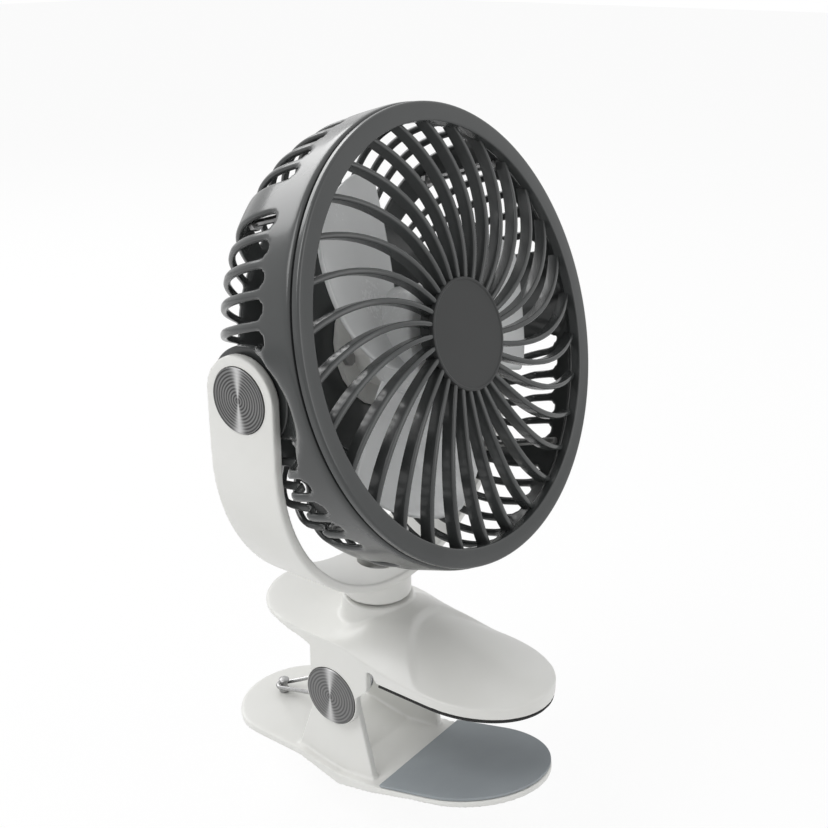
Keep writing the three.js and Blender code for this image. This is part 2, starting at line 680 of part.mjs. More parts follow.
function hubCap() {
  const back = HUB_CAP_THICK - HUB_CAP_PROUD;
  return lathed([
    [0, 0.4 - HUB_CAP_PROUD],
    [HUB_CAP_R - HUB_CAP_RIM, 0.4 - HUB_CAP_PROUD],
    [HUB_CAP_R - HUB_CAP_RIM * 0.5, -HUB_CAP_PROUD],
    [HUB_CAP_R, 0.3 - HUB_CAP_PROUD],
    [HUB_CAP_R, back],
    [0, back],
  ], 32);
}

function impeller() {
  const wall = IMPELLER_HUB_WALL;
  let body = solid(lathed([
    [0, IMPELLER_FRONT],
    [IMPELLER_HUB_R - IMPELLER_CHAMFER, IMPELLER_FRONT],
    [IMPELLER_HUB_R, IMPELLER_FRONT + IMPELLER_CHAMFER],
    [IMPELLER_HUB_R, IMPELLER_HUB_BACK],
    [IMPELLER_HUB_R - wall, IMPELLER_HUB_BACK],
    [IMPELLER_HUB_R - wall, IMPELLER_FRONT + wall],
    [IMPELLER_BOSS_R, IMPELLER_FRONT + wall],
    [IMPELLER_BOSS_R, MOTOR_FRONT - IMPELLER_FIT],
    [SHAFT_R + RUNNING, MOTOR_FRONT - IMPELLER_FIT],
    [SHAFT_R + RUNNING, IMPELLER_FRONT + IMPELLER_FIT],
    [0, IMPELLER_FRONT + IMPELLER_FIT],
  ], 24));
  for (let number = 0; number < BLADES; number++) body = body.add(blade(number));
  return body;
}

// A blade's section at one radius is a bowed strip from its front edge to its back edge.
function blade(number) {
  const spans = 4;
  const chords = 6;
  const root = IMPELLER_HUB_R - IMPELLER_HUB_WALL / 2;
  const rings = Array.from({ length: spans + 1 }, (_, i) => {
    const s = i / spans;
    const r = mix(root, BLADE_R, s);
    const arc = radians(mix(BLADE_ROOT_ARC, BLADE_TIP_ARC, s));
    const middle = radians(BLADE_TURN + 360 * number / BLADES - BLADE_LAG * s);
    const strip = (c, offset) => {
      const turn = middle + arc * (c - 0.5);
      const level = mix(BLADE_BACK - BLADE_TIP_RISE * s, BLADE_FRONT, c);
      return v3(r * cos(turn), atDepth(level + BLADE_BOW * sin(PI * c) + offset), r * sin(turn));
    };
    const thick = BLADE_THICK / 2;
    const shares = Array.from({ length: chords + 1 }, (_, k) => k / chords);
    return [
      ...shares.map((c) => strip(c, -thick * (c % 1 === 0 ? 0.5 : 1))),
      ...shares.reverse().map((c) => strip(c, thick * (c % 1 === 0 ? 0.5 : 1))),
    ];
  });
  return solid(loft(rings));
}

function motorMount() {
  const inside = MOTOR_R + RUNNING;
  const outside = inside + MOUNT_WALL;
  const back = podFloor - GAP;
  const mount = solid(lathed([
    [inside, MOUNT_FRONT],
    [outside, MOUNT_FRONT],
    [outside, back - MOUNT_FLANGE],
    [MOUNT_FLANGE_R, back - MOUNT_FLANGE],
    [MOUNT_FLANGE_R, back],
    [IMPELLER_BOSS_R, back],
    [IMPELLER_BOSS_R, MOTOR_BACK + GAP],
    [inside, MOTOR_BACK + GAP],
  ], 20));
  return cut(mount, ...[1, -1].map((side) => solid(bar('y', atDepth(back - MOUNT_FLANGE - 1),
    atDepth(back + 1), CASE_SCREW_SHAFT + RUNNING, [side * MOTOR_SCREW_RING, 0], 10))));
}

function motorBody() {
  return lathed([
    [SHAFT_R + RUNNING, MOTOR_FRONT],
    [MOTOR_R - 1, MOTOR_FRONT],
    [MOTOR_R, MOTOR_FRONT + 1],
    [MOTOR_R, MOTOR_BACK],
    [SHAFT_R + RUNNING, MOTOR_BACK],
  ], 24);
}

// A screw along Y with a low head: shaft from tip to seat, head behind the seat.
function screwAlongDepth(tip, seat, shaftR, headR, headThick, place) {
  const profile = [
    [0, tip], [shaftR, tip], [shaftR, seat],
    [headR, seat], [headR, seat + headThick], [0, seat + headThick],
  ];
  return lathed(profile, 8).translate(place[0], 0, place[1]);
}

function rearCover() {
  const inside = POD_R - POD_WALL;
  const seam = seamDepth;
  const back = podBack;
  const corner = (r, grow) => arcPoints([r - POD_CORNER, back - POD_CORNER], POD_CORNER + grow,
    0, 90, 2);
  let cover = solid(lathed([
    [POD_R, seam],
    ...corner(POD_R, 0),
    [0, back],
    [0, back - COVER_WALL],
    ...corner(POD_R, -COVER_WALL).reverse(),
    [inside, seam],
  ], 24));
  for (const angle of [45, 135, 225, 315]) {
    const place = onRing(POD_SCREW_RING, angle);
    cover = cover.add(solid(bar('y', atDepth(postDepth + GAP), atDepth(back - 1),
      POD_POST_R, place, 8)));
    cover = cut(cover,
      solid(bar('y', atDepth(postDepth - 1), atDepth(back + 2), POD_SCREW_SHAFT + RUNNING,
        place, 8)),
      solid(bar('y', atDepth(postDepth + 3), atDepth(back + 2), POD_SCREW_HEAD + RUNNING,
        place, 8)));
  }
  const socketDepth = boardDepth + BOARD_THICK + GAP;
  return cut(cover,
    solid(bar('y', atDepth(back - 6), atDepth(back + 2), BUTTON_R + RUNNING, [0, BUTTON_UP], 20)),
    solid(bar('y', atDepth(back - 6), atDepth(back + 2), LENS_R + RUNNING,
      [LENS_SIDE, BUTTON_UP], 12)),
    solid(box([-SOCKET_WIDTH / 2 - RUNNING, SOCKET_WIDTH / 2 + RUNNING],
      [atDepth(socketDepth - RUNNING), atDepth(socketDepth + SOCKET_HEIGHT + RUNNING)],
      [-POD_R - 4, -POD_R + 8])));
}

function chargingSocket() {
  const front = boardDepth + BOARD_THICK + GAP;
  const mouth = -POD_R + 0.3;
  const shell = box([-SOCKET_WIDTH / 2, SOCKET_WIDTH / 2],
    [atDepth(front), atDepth(front + SOCKET_HEIGHT)], [mouth, mouth + SOCKET_LENGTH]);
  const throat = box([-SOCKET_WIDTH / 2 + 0.6, SOCKET_WIDTH / 2 - 0.6],
    [atDepth(front + 0.6), atDepth(front + SOCKET_HEIGHT - 0.6)],
    [mouth - 1, mouth + SOCKET_LENGTH - 1.5]);
  return cut(solid(shell), solid(throat));
}

function circuitBoard() {
  const corner = 3;
  const [w, top, bottom] = [BOARD_HALF_WIDTH, BOARD_TOP, BOARD_BOTTOM];
  const outline = [
    [-w, top], [w, top], [w, bottom + 9], [w - 9, bottom], [-w + 9, bottom], [-w, bottom + 9],
  ];
  const shape = new THREE.Shape(outline.map(([x, z]) => v2(x, z)));
  const geometry = new THREE.ExtrudeGeometry(shape, { depth: BOARD_THICK, bevelEnabled: false });
  geometry.rotateX(PI / 2).translate(0, atDepth(boardDepth + BOARD_THICK), 0);
  return cut(solid(geometry), solid(bar('y', atDepth(boardDepth - 1),
    atDepth(boardDepth + BOARD_THICK + 1), 0.8, [w - corner, top - corner], 8)));
}

function speedButton() {
  const back = podBack + BUTTON_PROUD;
  return lathed([
    [0, boardDepth + BOARD_THICK + BUTTON_TRAVEL + 1],
    [BUTTON_R * 0.5, boardDepth + BOARD_THICK + BUTTON_TRAVEL + 1],
    [BUTTON_R * 0.5, podBack - 4.6],
    [BUTTON_R + 1.2, podBack - 4.6],
    [BUTTON_R + 1.2, podBack - 3.2],
    [BUTTON_R, podBack - 3.2],
    [BUTTON_R, back - 0.6],
    [BUTTON_R - 0.8, back],
    [0, back - 0.3],
  ], 16).translate(0, 0, BUTTON_UP);
}

function chargeLens() {
  return lathed([
    [0, boardDepth + BOARD_THICK + 1], [LENS_R, boardDepth + BOARD_THICK + 1],
    [LENS_R, podBack + 0.1], [0, podBack + 0.4],
  ], 12).translate(LENS_SIDE, 0, BUTTON_UP);
}

function buildHead() {
  const head = new THREE.Group();
  head.position.z = PIVOT_HEIGHT;
  head.rotation.x = -radians(TILT);
  head.add(piece('front_grille', frontGrille(), 'grey'));
  head.add(piece('hub_cap', hubCap(), 'grey'));
  head.add(piece('rear_shell', housing(), 'grey'));
  head.add(piece('impeller', impeller(), 'blade'));
  head.add(piece('motor_body', motorBody(), 'steel'));
  const shaftFront = IMPELLER_FRONT + IMPELLER_FIT + GAP;
  head.add(piece('motor_shaft', bar('y', atDepth(shaftFront), atDepth(MOTOR_BACK - 2), SHAFT_R,
    [0, 0], 12), 'steel'));
  head.add(piece('motor_mount', motorMount(), 'white'));
  head.add(piece('rear_cover', rearCover(), 'grey'));
  head.add(piece('battery_cell', bar('x', -BATTERY_LENGTH / 2, BATTERY_LENGTH / 2, BATTERY_R,
    [atDepth(batteryDepth), 0], 20), 'cell'));
  head.add(piece('circuit_board', circuitBoard(), 'board'));
  head.add(piece('charging_socket', chargingSocket(), 'steel'));
  head.add(piece('speed_button', speedButton(), 'grey'));
  head.add(piece('charge_lens', chargeLens(), 'lens'));
  ['upper_right', 'upper_left', 'lower_left', 'lower_right'].forEach((name, i) => {
    const seat = CASE_SCREW_SEAT + GAP;
    head.add(piece(`case_screw_${name}`, screwAlongDepth(BEZEL_LIP + 1.2, seat, CASE_SCREW_SHAFT,
      CASE_SCREW_HEAD, 1.8, onRing(CASE_SCREW_R, screwAngles[i])), 'steel'));
    head.add(piece(`pod_screw_${name}`, screwAlongDepth(podFloor + POD_PLATE + 4,
      postDepth + 3 + GAP, POD_SCREW_SHAFT, POD_SCREW_HEAD, 1.4,
      onRing(POD_SCREW_RING, 45 + 90 * i)), 'steel'));
  });
  head.add(...bothSides((name, side) => {
    const seat = podFloor - GAP - MOUNT_FLANGE - GAP;
    const back = podFloor + POD_PLATE;
    const screw = screwAlongDepth(PIVOT_DEPTH, PIVOT_DEPTH + back - seat, CASE_SCREW_SHAFT,
      CASE_SCREW_HEAD, 1.6, [0, 0]);
    screw.rotateX(PI).translate(side * MOTOR_SCREW_RING, atDepth(back), 0);
    return piece(`motor_screw_${name}`, screw, 'steel');
  }));
  return head;
}

// ---------------------------------------------------------------- yoke

const yokeOuterX = EAR_INNER_X + YOKE_THICK;
const capSeatX = yokeOuterX - CAP_RECESS;

// A turned body on the X axis, its profile's second numbers measured outwards from the middle.
const alongX = (profile, side, sides) => turned(profile, sides).rotateZ(-side * PI / 2);
const alongZ = (profile, sides) => turned(profile, sides).rotateX(PI / 2);
const ring = (inner, outer, from, to) => [[inner, from], [outer, from], [outer, to], [inner, to]];

// An outline in the XZ plane, pulled out along Y.
function frontways(outline, y0, y1) {
  const shape = new THREE.Shape(outline.map(([x, z]) => v2(x, z)));
  const geometry = new THREE.ExtrudeGeometry(shape, { depth: y1 - y0, bevelEnabled: false });
  return outward(weld(geometry.rotateX(PI / 2).translate(0, y1, 0)));
}

const neckBottom = TOWER_TOP + GAP + WASHER_THICK + GAP;
const neckFloorTop = neckBottom + NECK_FLOOR;

function yoke() {
  const top = PIVOT_HEIGHT + YOKE_HALF_WIDTH + 1;
  const centre = [0, YOKE_ARC_HEIGHT];
  const band = frontways([
    [-yokeOuterX, top],
    ...arcPoints(centre, yokeOuterX, 180, 360, 22),
    [yokeOuterX, top],
    [EAR_INNER_X, top],
    ...arcPoints(centre, EAR_INNER_X, 360, 180, 22),
    [-EAR_INNER_X, top],
  ], -YOKE_HALF_WIDTH, YOKE_HALF_WIDTH);
  const ears = sideways([
    [-YOKE_HALF_WIDTH, 0],
    [YOKE_HALF_WIDTH, 0],
    ...arcPoints([0, PIVOT_HEIGHT], YOKE_HALF_WIDTH, 0, 180, 14),
  ], -yokeOuterX - 1, yokeOuterX + 1);
  const neckTop = YOKE_ARC_HEIGHT - EAR_INNER_X - 0.5;
  let shape = solid(band).intersect(solid(ears));
  shape = shape.add(solid(bar('z', neckBottom, neckTop, NECK_R, [0, 0], 32)));
  shape = cut(shape,
    solid(bar('z', neckFloorTop, neckTop + 10, YOKE_RECESS_R, [0, 0], 24)),
    solid(bar('z', neckBottom - 1, neckTop, SWIVEL_R + RUNNING)));
  for (const side of [1, -1]) {
    shape = cut(shape,
      mirrored(solid(bar('x', capSeatX, yokeOuterX + 1, CAP_R + GAP, [0, PIVOT_HEIGHT], 32)), side),
      mirrored(solid(bar('x', EAR_INNER_X - 1, yokeOuterX, PIN_R + RUNNING, [0, PIVOT_HEIGHT])),
        side));
  }
  return shape;
}

function pivotPin(side) {
  const inner = EAR_INNER_X - WASHER_THICK - 2 * GAP - BOSS_HUB_LENGTH + 1;
  const seat = capSeatX + GAP;
  return alongX([
    [0, inner], [PIN_R - 0.6, inner], [PIN_R, inner + 0.6], [PIN_R, seat],
    [PIN_HEAD_R, seat], [PIN_HEAD_R, seat + PIN_HEAD_THICK], [0, seat + PIN_HEAD_THICK],
  ], side, SMALL_ROUND).translate(0, 0, PIVOT_HEIGHT);
}

function pivotCap(side) {
  const face = yokeOuterX + CAP_PROUD;
  return alongX([
    [0, face - CAP_WALL],
    [CAP_R - CAP_WALL, face - CAP_WALL],
    [CAP_R - CAP_WALL, capSeatX + GAP],
    [CAP_R, capSeatX + GAP],
    [CAP_R, face],
    [0, face],
  ], side, 28).translate(0, 0, PIVOT_HEIGHT);
}

function buildYoke() {
  const group = new THREE.Group();
  group.add(piece('yoke', yoke(), 'white'));
  const washerX = EAR_INNER_X - GAP - WASHER_THICK;
  group.add(...bothSides((name, side) => piece(`tilt_washer_${name}`,
    alongX(ring(PIN_R + RUNNING, TILT_WASHER_R, washerX, washerX + WASHER_THICK), side, 20)
      .translate(0, 0, PIVOT_HEIGHT), 'black')));
  group.add(...bothSides((name, side) => piece(`pivot_pin_${name}`, pivotPin(side), 'steel')));
  group.add(...bothSides((name, side) => piece(`pivot_cap_${name}`, pivotCap(side), 'steel')));
  const washerZ = neckFloorTop + GAP;
  const seat = washerZ + SWIVEL_WASHER + GAP;
  const nutTop = NUT_POCKET_TOP - GAP - WASHER_THICK - GAP;
  group.add(piece('swivel_washer', alongZ(ring(SWIVEL_R + RUNNING, SWIVEL_WASHER_R, washerZ,
    washerZ + SWIVEL_WASHER), SMALL_ROUND), 'steel'));
  group.add(piece('swivel_screw', alongZ([
    [0, nutTop - NUT_THICK - 1], [SWIVEL_R - 0.6, nutTop - NUT_THICK - 1],
    [SWIVEL_R, nutTop - NUT_THICK - 0.4], [SWIVEL_R, seat],
    [SWIVEL_HEAD_R, seat], [SWIVEL_HEAD_R, seat + SWIVEL_HEAD * 0.6],
    [SWIVEL_HEAD_R * 0.7, seat + SWIVEL_HEAD], [0, seat + SWIVEL_HEAD],
  ], SMALL_ROUND), 'steel'));
  group.add(piece('swivel_nut', cut(
    solid(bar('z', nutTop - NUT_THICK, nutTop, NUT_R, [0, 0], 6)),
    solid(bar('z', nutTop - NUT_THICK - 1, nutTop + 1, SWIVEL_R + RUNNING))), 'steel'));
  return group;
}

// ---------------------------------------------------------------- clamp

function along(rows, y) {
  const last = rows.findIndex(([at]) => at >= y);
  if (last <= 0) return last === 0 ? rows[0][1] : rows.at(-1)[1];
  const [[y0, z0], [y1, z1]] = [rows[last - 1], rows[last]];
  return mix(z0, z1, (y - y0) / (y1 - y0));
}

// Half the width of a jaw that is rounded at both ends.
function halfWidthAt(y, [tip, roundFront, roundBack, end], inset = 0) {
  const front = (roundFront - y) / (roundFront - tip - inset);
  const back = (y - roundBack) / (end - inset - roundBack);
  const past = max(front, back, 0);
  return (JAW_HALF_WIDTH - inset) * sqrt(max(1 - past * past, 0));
}

const upperEnds = [JAW_TIP, JAW_ROUND_FROM, TAIL_ROUND_FROM, TAIL_END];
const lowerEnds = [JAW_TIP, JAW_ROUND_FROM, LOWER_ROUND_FROM, LOWER_END];

// Distances along a jaw, closer together where its ends are round.
function stationsOf([tip, roundFront, roundBack, end], between) {
  const shares = [0.998, 0.96, 0.86, 0.7, 0.45, 0];
  return [
    ...shares.map((share) => mix(roundFront, tip, share)),
    ...between,
    ...shares.reverse().map((share) => mix(roundBack, end, share)),
  ];
}

function outlineOf(ends, inset) {
  const stations = stationsOf(ends, []);
  return [
    ...stations.map((y) => [halfWidthAt(y, ends, inset), y]),
    ...stations.reverse().map((y) => [-halfWidthAt(y, ends, inset), y]),
  ];
}

// An outline in the XY plane, pulled out along Z.
function upright(outline, z0, z1) {
  const shape = new THREE.Shape(outline.map(([x, y]) => v2(x, y)));
  const geometry = new THREE.ExtrudeGeometry(shape, { depth: z1 - z0, bevelEnabled: false });
  return outward(weld(geometry.translate(0, 0, z0)));
}

function jawDeck() {
  const arch = 6;
  const stations = stationsOf(upperEnds, [-27.5, -14, -8, -2, 4, 12]);
  return solid(loft(stations.map((y) => {
    const w = halfWidthAt(y, upperEnds);
    const edge = along(JAW_EDGE, y);
    const ridge = along(JAW_RIDGE, y);
    const crown = Array.from({ length: arch + 1 }, (_, k) => {
      const x = cos(PI * k / arch);
      return v3(w * x, y, edge + (ridge - edge) * (1 - x * x));
    });
    return [v3(-w, y, JAW_SOLE), v3(w, y, JAW_SOLE), ...crown];
  })));
}

function jawTower() {
  const sides = 28;
  return solid(loft(TOWER_SPREAD.map(([z, spread]) => (
    Array.from({ length: sides }, (_, k) => {
      const [x, y] = [cos(2 * PI * k / sides), sin(2 * PI * k / sides)];
      const reach = y > 0 ? TOWER_FOOT_REAR - TOWER_FOOT_MIDDLE
        : TOWER_FOOT_MIDDLE - TOWER_FOOT_FRONT;
      return v3(
        mix(TOWER_R * x, TOWER_FOOT_HALF_WIDTH * x, spread),
        mix(TOWER_R * y, TOWER_FOOT_MIDDLE + reach * y, spread),
        z);
    })
  ))));
}

function upperJaw() {
  const inner = JAW_HALF_WIDTH - CHEEK_THICK;
  const joinAngle = Math.acos((CHEEK_REAR - AXLE_Y) / CHEEK_R) * 180 / PI;
  const under = [...JAW_UNDERSIDE, [TAIL_END + 5, JAW_UNDERSIDE.at(-1)[1]],
    [TAIL_END + 5, -5], [JAW_UNDERSIDE[0][0], -5]];
  const cheek = [
    [CHEEK_REAR, CHEEK_TOP],
    ...arcPoints([AXLE_Y, AXLE_Z], CHEEK_R, joinAngle, -180, 18),
    [AXLE_Y - CHEEK_R, -CHEEK_STOP - (AXLE_Y - CHEEK_R - CHEEK_FRONT)],
    [CHEEK_FRONT, -CHEEK_STOP],
    [CHEEK_FRONT, CHEEK_TOP],
  ];
  let jaw = join(jawDeck(), jawTower());
  jaw = cut(jaw, solid(sideways(under, -40, 40)));
  for (const side of [1, -1]) {
    const outside = JAW_HALF_WIDTH;
    const place = [AXLE_Y, AXLE_Z];
    jaw = jaw.add(mirrored(solid(sideways(cheek, inner, outside)), side));
    jaw = cut(jaw,
      mirrored(solid(bar('x', outside - JAW_CAP_RECESS, outside + 1, JAW_CAP_R + GAP, place, 32)),
        side),
      mirrored(solid(bar('x', inner - 1, outside, AXLE_R + RUNNING, place)), side));
  }
  return cut(jaw,
    solid(bar('z', 0, NUT_POCKET_TOP, NUT_POCKET_R, [0, 0], 24)),
    solid(bar('z', 0, TOWER_TOP + 1, SWIVEL_R + RUNNING)));
}

function upperPad() {
  const rear = solid(box([-40, 40], [PAD_REAR, 90], [-1, PAD_THICK + 1]));
  return cut(solid(upright(outlineOf(upperEnds, PAD_INSET), 0, PAD_THICK)), rear);
}

const lowerPadTop = (y) => -BOARD_GAP - LOWER_PAD_SLOPE * (y - LOWER_PAD_TOUCH);
const steep = hypot(1, LOWER_PAD_SLOPE);

function lowerJaw() {
  const front = JAW_TIP - 1;
  const drop = (LOWER_PAD_THICK + GAP) * steep;
  const side = [
    [front, lowerPadTop(front) - drop],
    ...LOWER_BELLY,
    ...[...LOWER_WAIST].reverse(),
    [PAD_REAR, lowerPadTop(PAD_REAR) - drop],
  ];
  const plan = solid(upright(outlineOf(lowerEnds, 0), UNDER_JAWS, 0));
  let jaw = solid(sideways(side, -JAW_HALF_WIDTH - 1, JAW_HALF_WIDTH + 1)).intersect(plan);
  const outer = JAW_HALF_WIDTH - CHEEK_THICK - LOWER_CHEEK_GAP;
  const cheek = [
    [LOWER_CHEEK_FRONT, along(LOWER_BELLY, LOWER_CHEEK_FRONT) + 2],
    [LOWER_CHEEK_BACK, LEVER_TOP - 1],
    ...arcPoints([AXLE_Y, AXLE_Z], LOWER_CHEEK_R, 18, 172, 14),
  ];
  for (const way of [1, -1]) {
    jaw = jaw.add(mirrored(solid(sideways(cheek, outer - LOWER_CHEEK_THICK, outer)), way));
  }
  return cut(jaw,
    solid(bar('x', -outer - 1, outer + 1, AXLE_R + RUNNING, [AXLE_Y, AXLE_Z])),
    solid(bar('z', LEVER_TOP - 10, LEVER_TOP + 1, POST_R + GAP, [0, POST_Y])));
}

function lowerPad() {
  const front = JAW_TIP - 1;
  const drop = LOWER_PAD_THICK * steep;
  const side = [
    [front, lowerPadTop(front)], [front, lowerPadTop(front) - drop],
    [PAD_REAR, lowerPadTop(PAD_REAR) - drop], [PAD_REAR, lowerPadTop(PAD_REAR)],
  ];
  const plan = solid(upright(outlineOf(lowerEnds, PAD_INSET), UNDER_JAWS, 0));
  return solid(sideways(side, -40, 40)).intersect(plan);
}

function springPost() {
  const loop = LEVER_TOP + LOOP_HEIGHT;
  const head = loop + WIRE_R + POST_NECK;
  return alongZ([
    [0, LEVER_TOP - 2.6], [POST_R, LEVER_TOP - 2.6],
    [POST_R, LEVER_TOP + GAP], [POST_HEAD_R, LEVER_TOP + GAP],
    [POST_HEAD_R, loop - WIRE_R - 2 * GAP], [POST_R, loop - WIRE_R - 2 * GAP],
    [POST_R, head], [POST_HEAD_R, head],
    [POST_HEAD_R, head + POST_HEAD * 0.6], [POST_HEAD_R * 0.75, head + POST_HEAD],
    [0, head + POST_HEAD],
  ], SMALL_ROUND).translate(0, POST_Y, 0);
}

// ---------------------------------------------------------------- clamp spring

// Angle round the axle at which a straight leg to a point leaves a coil.
function tangentAngle([y, z], way) {
  const [dy, dz] = [y - AXLE_Y, z - AXLE_Z];
  return Math.atan2(dz, dy) + way * Math.acos(COIL_R / hypot(dy, dz));
}

function springHalf(side) {
  const tip = [LEG_TIP_Y, along(JAW_UNDERSIDE, LEG_TIP_Y) - 2 * GAP - WIRE_R];
  const loopStart = [POST_Y, LEVER_TOP + LOOP_HEIGHT];
  const from = tangentAngle(tip, 1);
  const to = tangentAngle(loopStart, -1) + 2 * PI * (COIL_TURNS + 1);
  const steps = Math.round((to - from) / (2 * PI) * CURL_STEPS);
  const inner = COIL_OUTER_X - COIL_PITCH * (to - from) / (2 * PI);
  const points = [v3(side * inner, ...tip)];
  for (let i = 0; i <= steps; i++) {
    const angle = mix(from, to, i / steps);
    const x = mix(inner, COIL_OUTER_X, i / steps);
    points.push(v3(side * x, AXLE_Y + COIL_R * cos(angle), AXLE_Z + COIL_R * sin(angle)));
  }
  return points;
}

function springPath() {
  const bend = POST_R + GAP + WIRE_R;
  const height = LEVER_TOP + LOOP_HEIGHT;
  const loop = Array.from({ length: 7 }, (_, i) => {
    const angle = PI * i / 6;
    return v3(-bend * cos(angle), POST_Y + bend * sin(angle), height);
  });
  return [...springHalf(-1), ...loop, ...springHalf(1).reverse()];
}

// Least gap between parts of the wire that are not neighbours, on points half a millimetre apart.
function leastWireGap(path) {
  const points = [];
  let run = 0;
  for (let i = 0; i + 1 < path.length; i++) {
    const length = path[i].distanceTo(path[i + 1]);
    const steps = Math.ceil(length * 2);
    for (let k = 0; k < steps; k++) {
      points.push([run + length * k / steps, path[i].clone().lerp(path[i + 1], k / steps)]);
    }
    run += length;
  }
  let least = Infinity;
  for (let i = 0; i < points.length; i++) {
    for (let j = i + 1; j < points.length; j++) {
      if (points[j][0] - points[i][0] < 4 * PI * WIRE_R) continue;
      least = min(least, points[i][1].distanceTo(points[j][1]));
    }
  }
  return least - 2 * WIRE_R;
}

function clampSpring() {
  const path = springPath();
  console.log(`clamp_spring: least gap to itself ${leastWireGap(path).toFixed(2)} mm`);
  return tube(path, WIRE_R, WIRE_SIDES);
}

function buildClamp() {
  const group = new THREE.Group();
  group.add(piece('upper_jaw', upperJaw(), 'white'));
  group.add(piece('upper_pad', upperPad(), 'black'));
  const neckWasherZ = TOWER_TOP + GAP;
  group.add(piece('neck_washer', alongZ(ring(SWIVEL_R + RUNNING, NECK_WASHER_R, neckWasherZ,
    neckWasherZ + WASHER_THICK), 20), 'black'));
  const nutWasherZ = NUT_POCKET_TOP - GAP - WASHER_THICK;
  group.add(piece('nut_washer', alongZ(ring(SWIVEL_R + RUNNING, NUT_POCKET_R - GAP, nutWasherZ,
    nutWasherZ + WASHER_THICK), SMALL_ROUND), 'steel'));
  const axleEnd = JAW_HALF_WIDTH - JAW_CAP_RECESS;
  group.add(piece('clamp_axle', bar('x', -axleEnd, axleEnd, AXLE_R, [AXLE_Y, AXLE_Z], 24),
    'steel'));
  group.add(...bothSides((name, side) => {
    const face = JAW_HALF_WIDTH + JAW_CAP_PROUD;
    const cap = alongX([
      [0, axleEnd + GAP], [JAW_CAP_R, axleEnd + GAP], [JAW_CAP_R, face - 0.4],
      [JAW_CAP_R - 0.4, face], [0, face],
    ], side, 32);
    return piece(`clamp_cap_${name}`, cap.translate(0, AXLE_Y, AXLE_Z), 'steel');
  }));
  group.add(piece('lower_jaw', lowerJaw(), 'white'));
  group.add(piece('lower_pad', lowerPad(), 'pad'));
  group.add(piece('spring_post', springPost(), 'steel'));
  group.add(piece('clamp_spring', clampSpring(), 'steel'));
  return group;
}

// ---------------------------------------------------------------- whole fan

const fan = new THREE.Group();
fan.position.y = -PAD_MIDDLE;
fan.add(buildHead(), buildYoke(), buildClamp());

export default fan;
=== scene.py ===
# %% [markdown]
# # A clip fan, dressed over its frame
# A round slotted head tilts in a U-shaped yoke, and the yoke turns on a sprung clamp.
# The CAD model already says where everything is and what moves. This lesson gives each piece
# that can be seen its real surface: round edges, swept ribs, spun metal and soft plastic.
# All sizes are in millimetres, and one matrix at the end of each piece turns them into metres.

# %% Load the frame
import json
import math

import bmesh
import bpy
from mathutils import Matrix, Vector


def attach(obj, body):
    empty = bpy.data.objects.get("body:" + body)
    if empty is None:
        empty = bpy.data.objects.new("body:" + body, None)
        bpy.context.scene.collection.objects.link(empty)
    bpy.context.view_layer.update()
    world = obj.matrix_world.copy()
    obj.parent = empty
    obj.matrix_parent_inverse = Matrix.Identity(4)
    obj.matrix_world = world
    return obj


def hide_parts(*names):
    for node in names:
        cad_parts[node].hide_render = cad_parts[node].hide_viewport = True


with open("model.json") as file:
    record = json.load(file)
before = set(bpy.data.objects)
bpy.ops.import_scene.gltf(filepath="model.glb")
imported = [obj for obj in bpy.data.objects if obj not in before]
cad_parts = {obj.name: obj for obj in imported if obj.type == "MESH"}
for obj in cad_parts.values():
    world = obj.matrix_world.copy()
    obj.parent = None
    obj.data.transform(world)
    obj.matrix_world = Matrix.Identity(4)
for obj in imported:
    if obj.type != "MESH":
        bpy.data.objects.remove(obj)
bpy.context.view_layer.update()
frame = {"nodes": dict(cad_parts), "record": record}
nodes = frame["nodes"]

# %% [markdown]
# ## Two places to work in
# The clamp and yoke are easiest to draw round the swivel, which stands 47 mm behind the pad.
# The head is easiest to draw facing straight ahead, round its tilt axis, and is then leaned
# back by 17 degrees. Depth in the head is counted back from the plane of its front ring.

# %% The two places
MM = Matrix.Scale(0.001, 4)
NECK = Matrix.Translation((0, 0.047, 0)) @ MM
HEAD = Matrix.Translation((0, 0.047, 0.1247)) @ Matrix.Rotation(math.radians(-17), 4, "X") @ MM
PIVOT_DEPTH = 41.7
AXLE = AXLE_Y, AXLE_Z = (2.5, -13)
PIN_BORE = 3.3
print("head leans back", round(math.degrees(HEAD.to_euler().x), 1), "degrees")

# %% [markdown]
# ## Shader sums in Python
# A finish is a small sum over the surface: some noise, a ring pattern, a mask. Node trees for
# sums are long, so a socket is wrapped in a class that turns +, -, * and ** into Math nodes.

# %% A socket that can be added and multiplied
class Socket:
    def __init__(self, finish, output):
        self.finish, self.output = finish, output

    def sum(self, operation, first, second):
        return self.finish.node("ShaderNodeMath", {"operation": operation}, {0: first, 1: second})

    def __add__(self, other):
        return self.sum("ADD", self, other)

    def __sub__(self, other):
        return self.sum("SUBTRACT", self, other)

    def __rsub__(self, other):
        return self.sum("SUBTRACT", other, self)

    def __mul__(self, other):
        return self.sum("MULTIPLY", self, other)

    def __pow__(self, other):
        return self.sum("POWER", self, other)

    __radd__, __rmul__ = __add__, __mul__


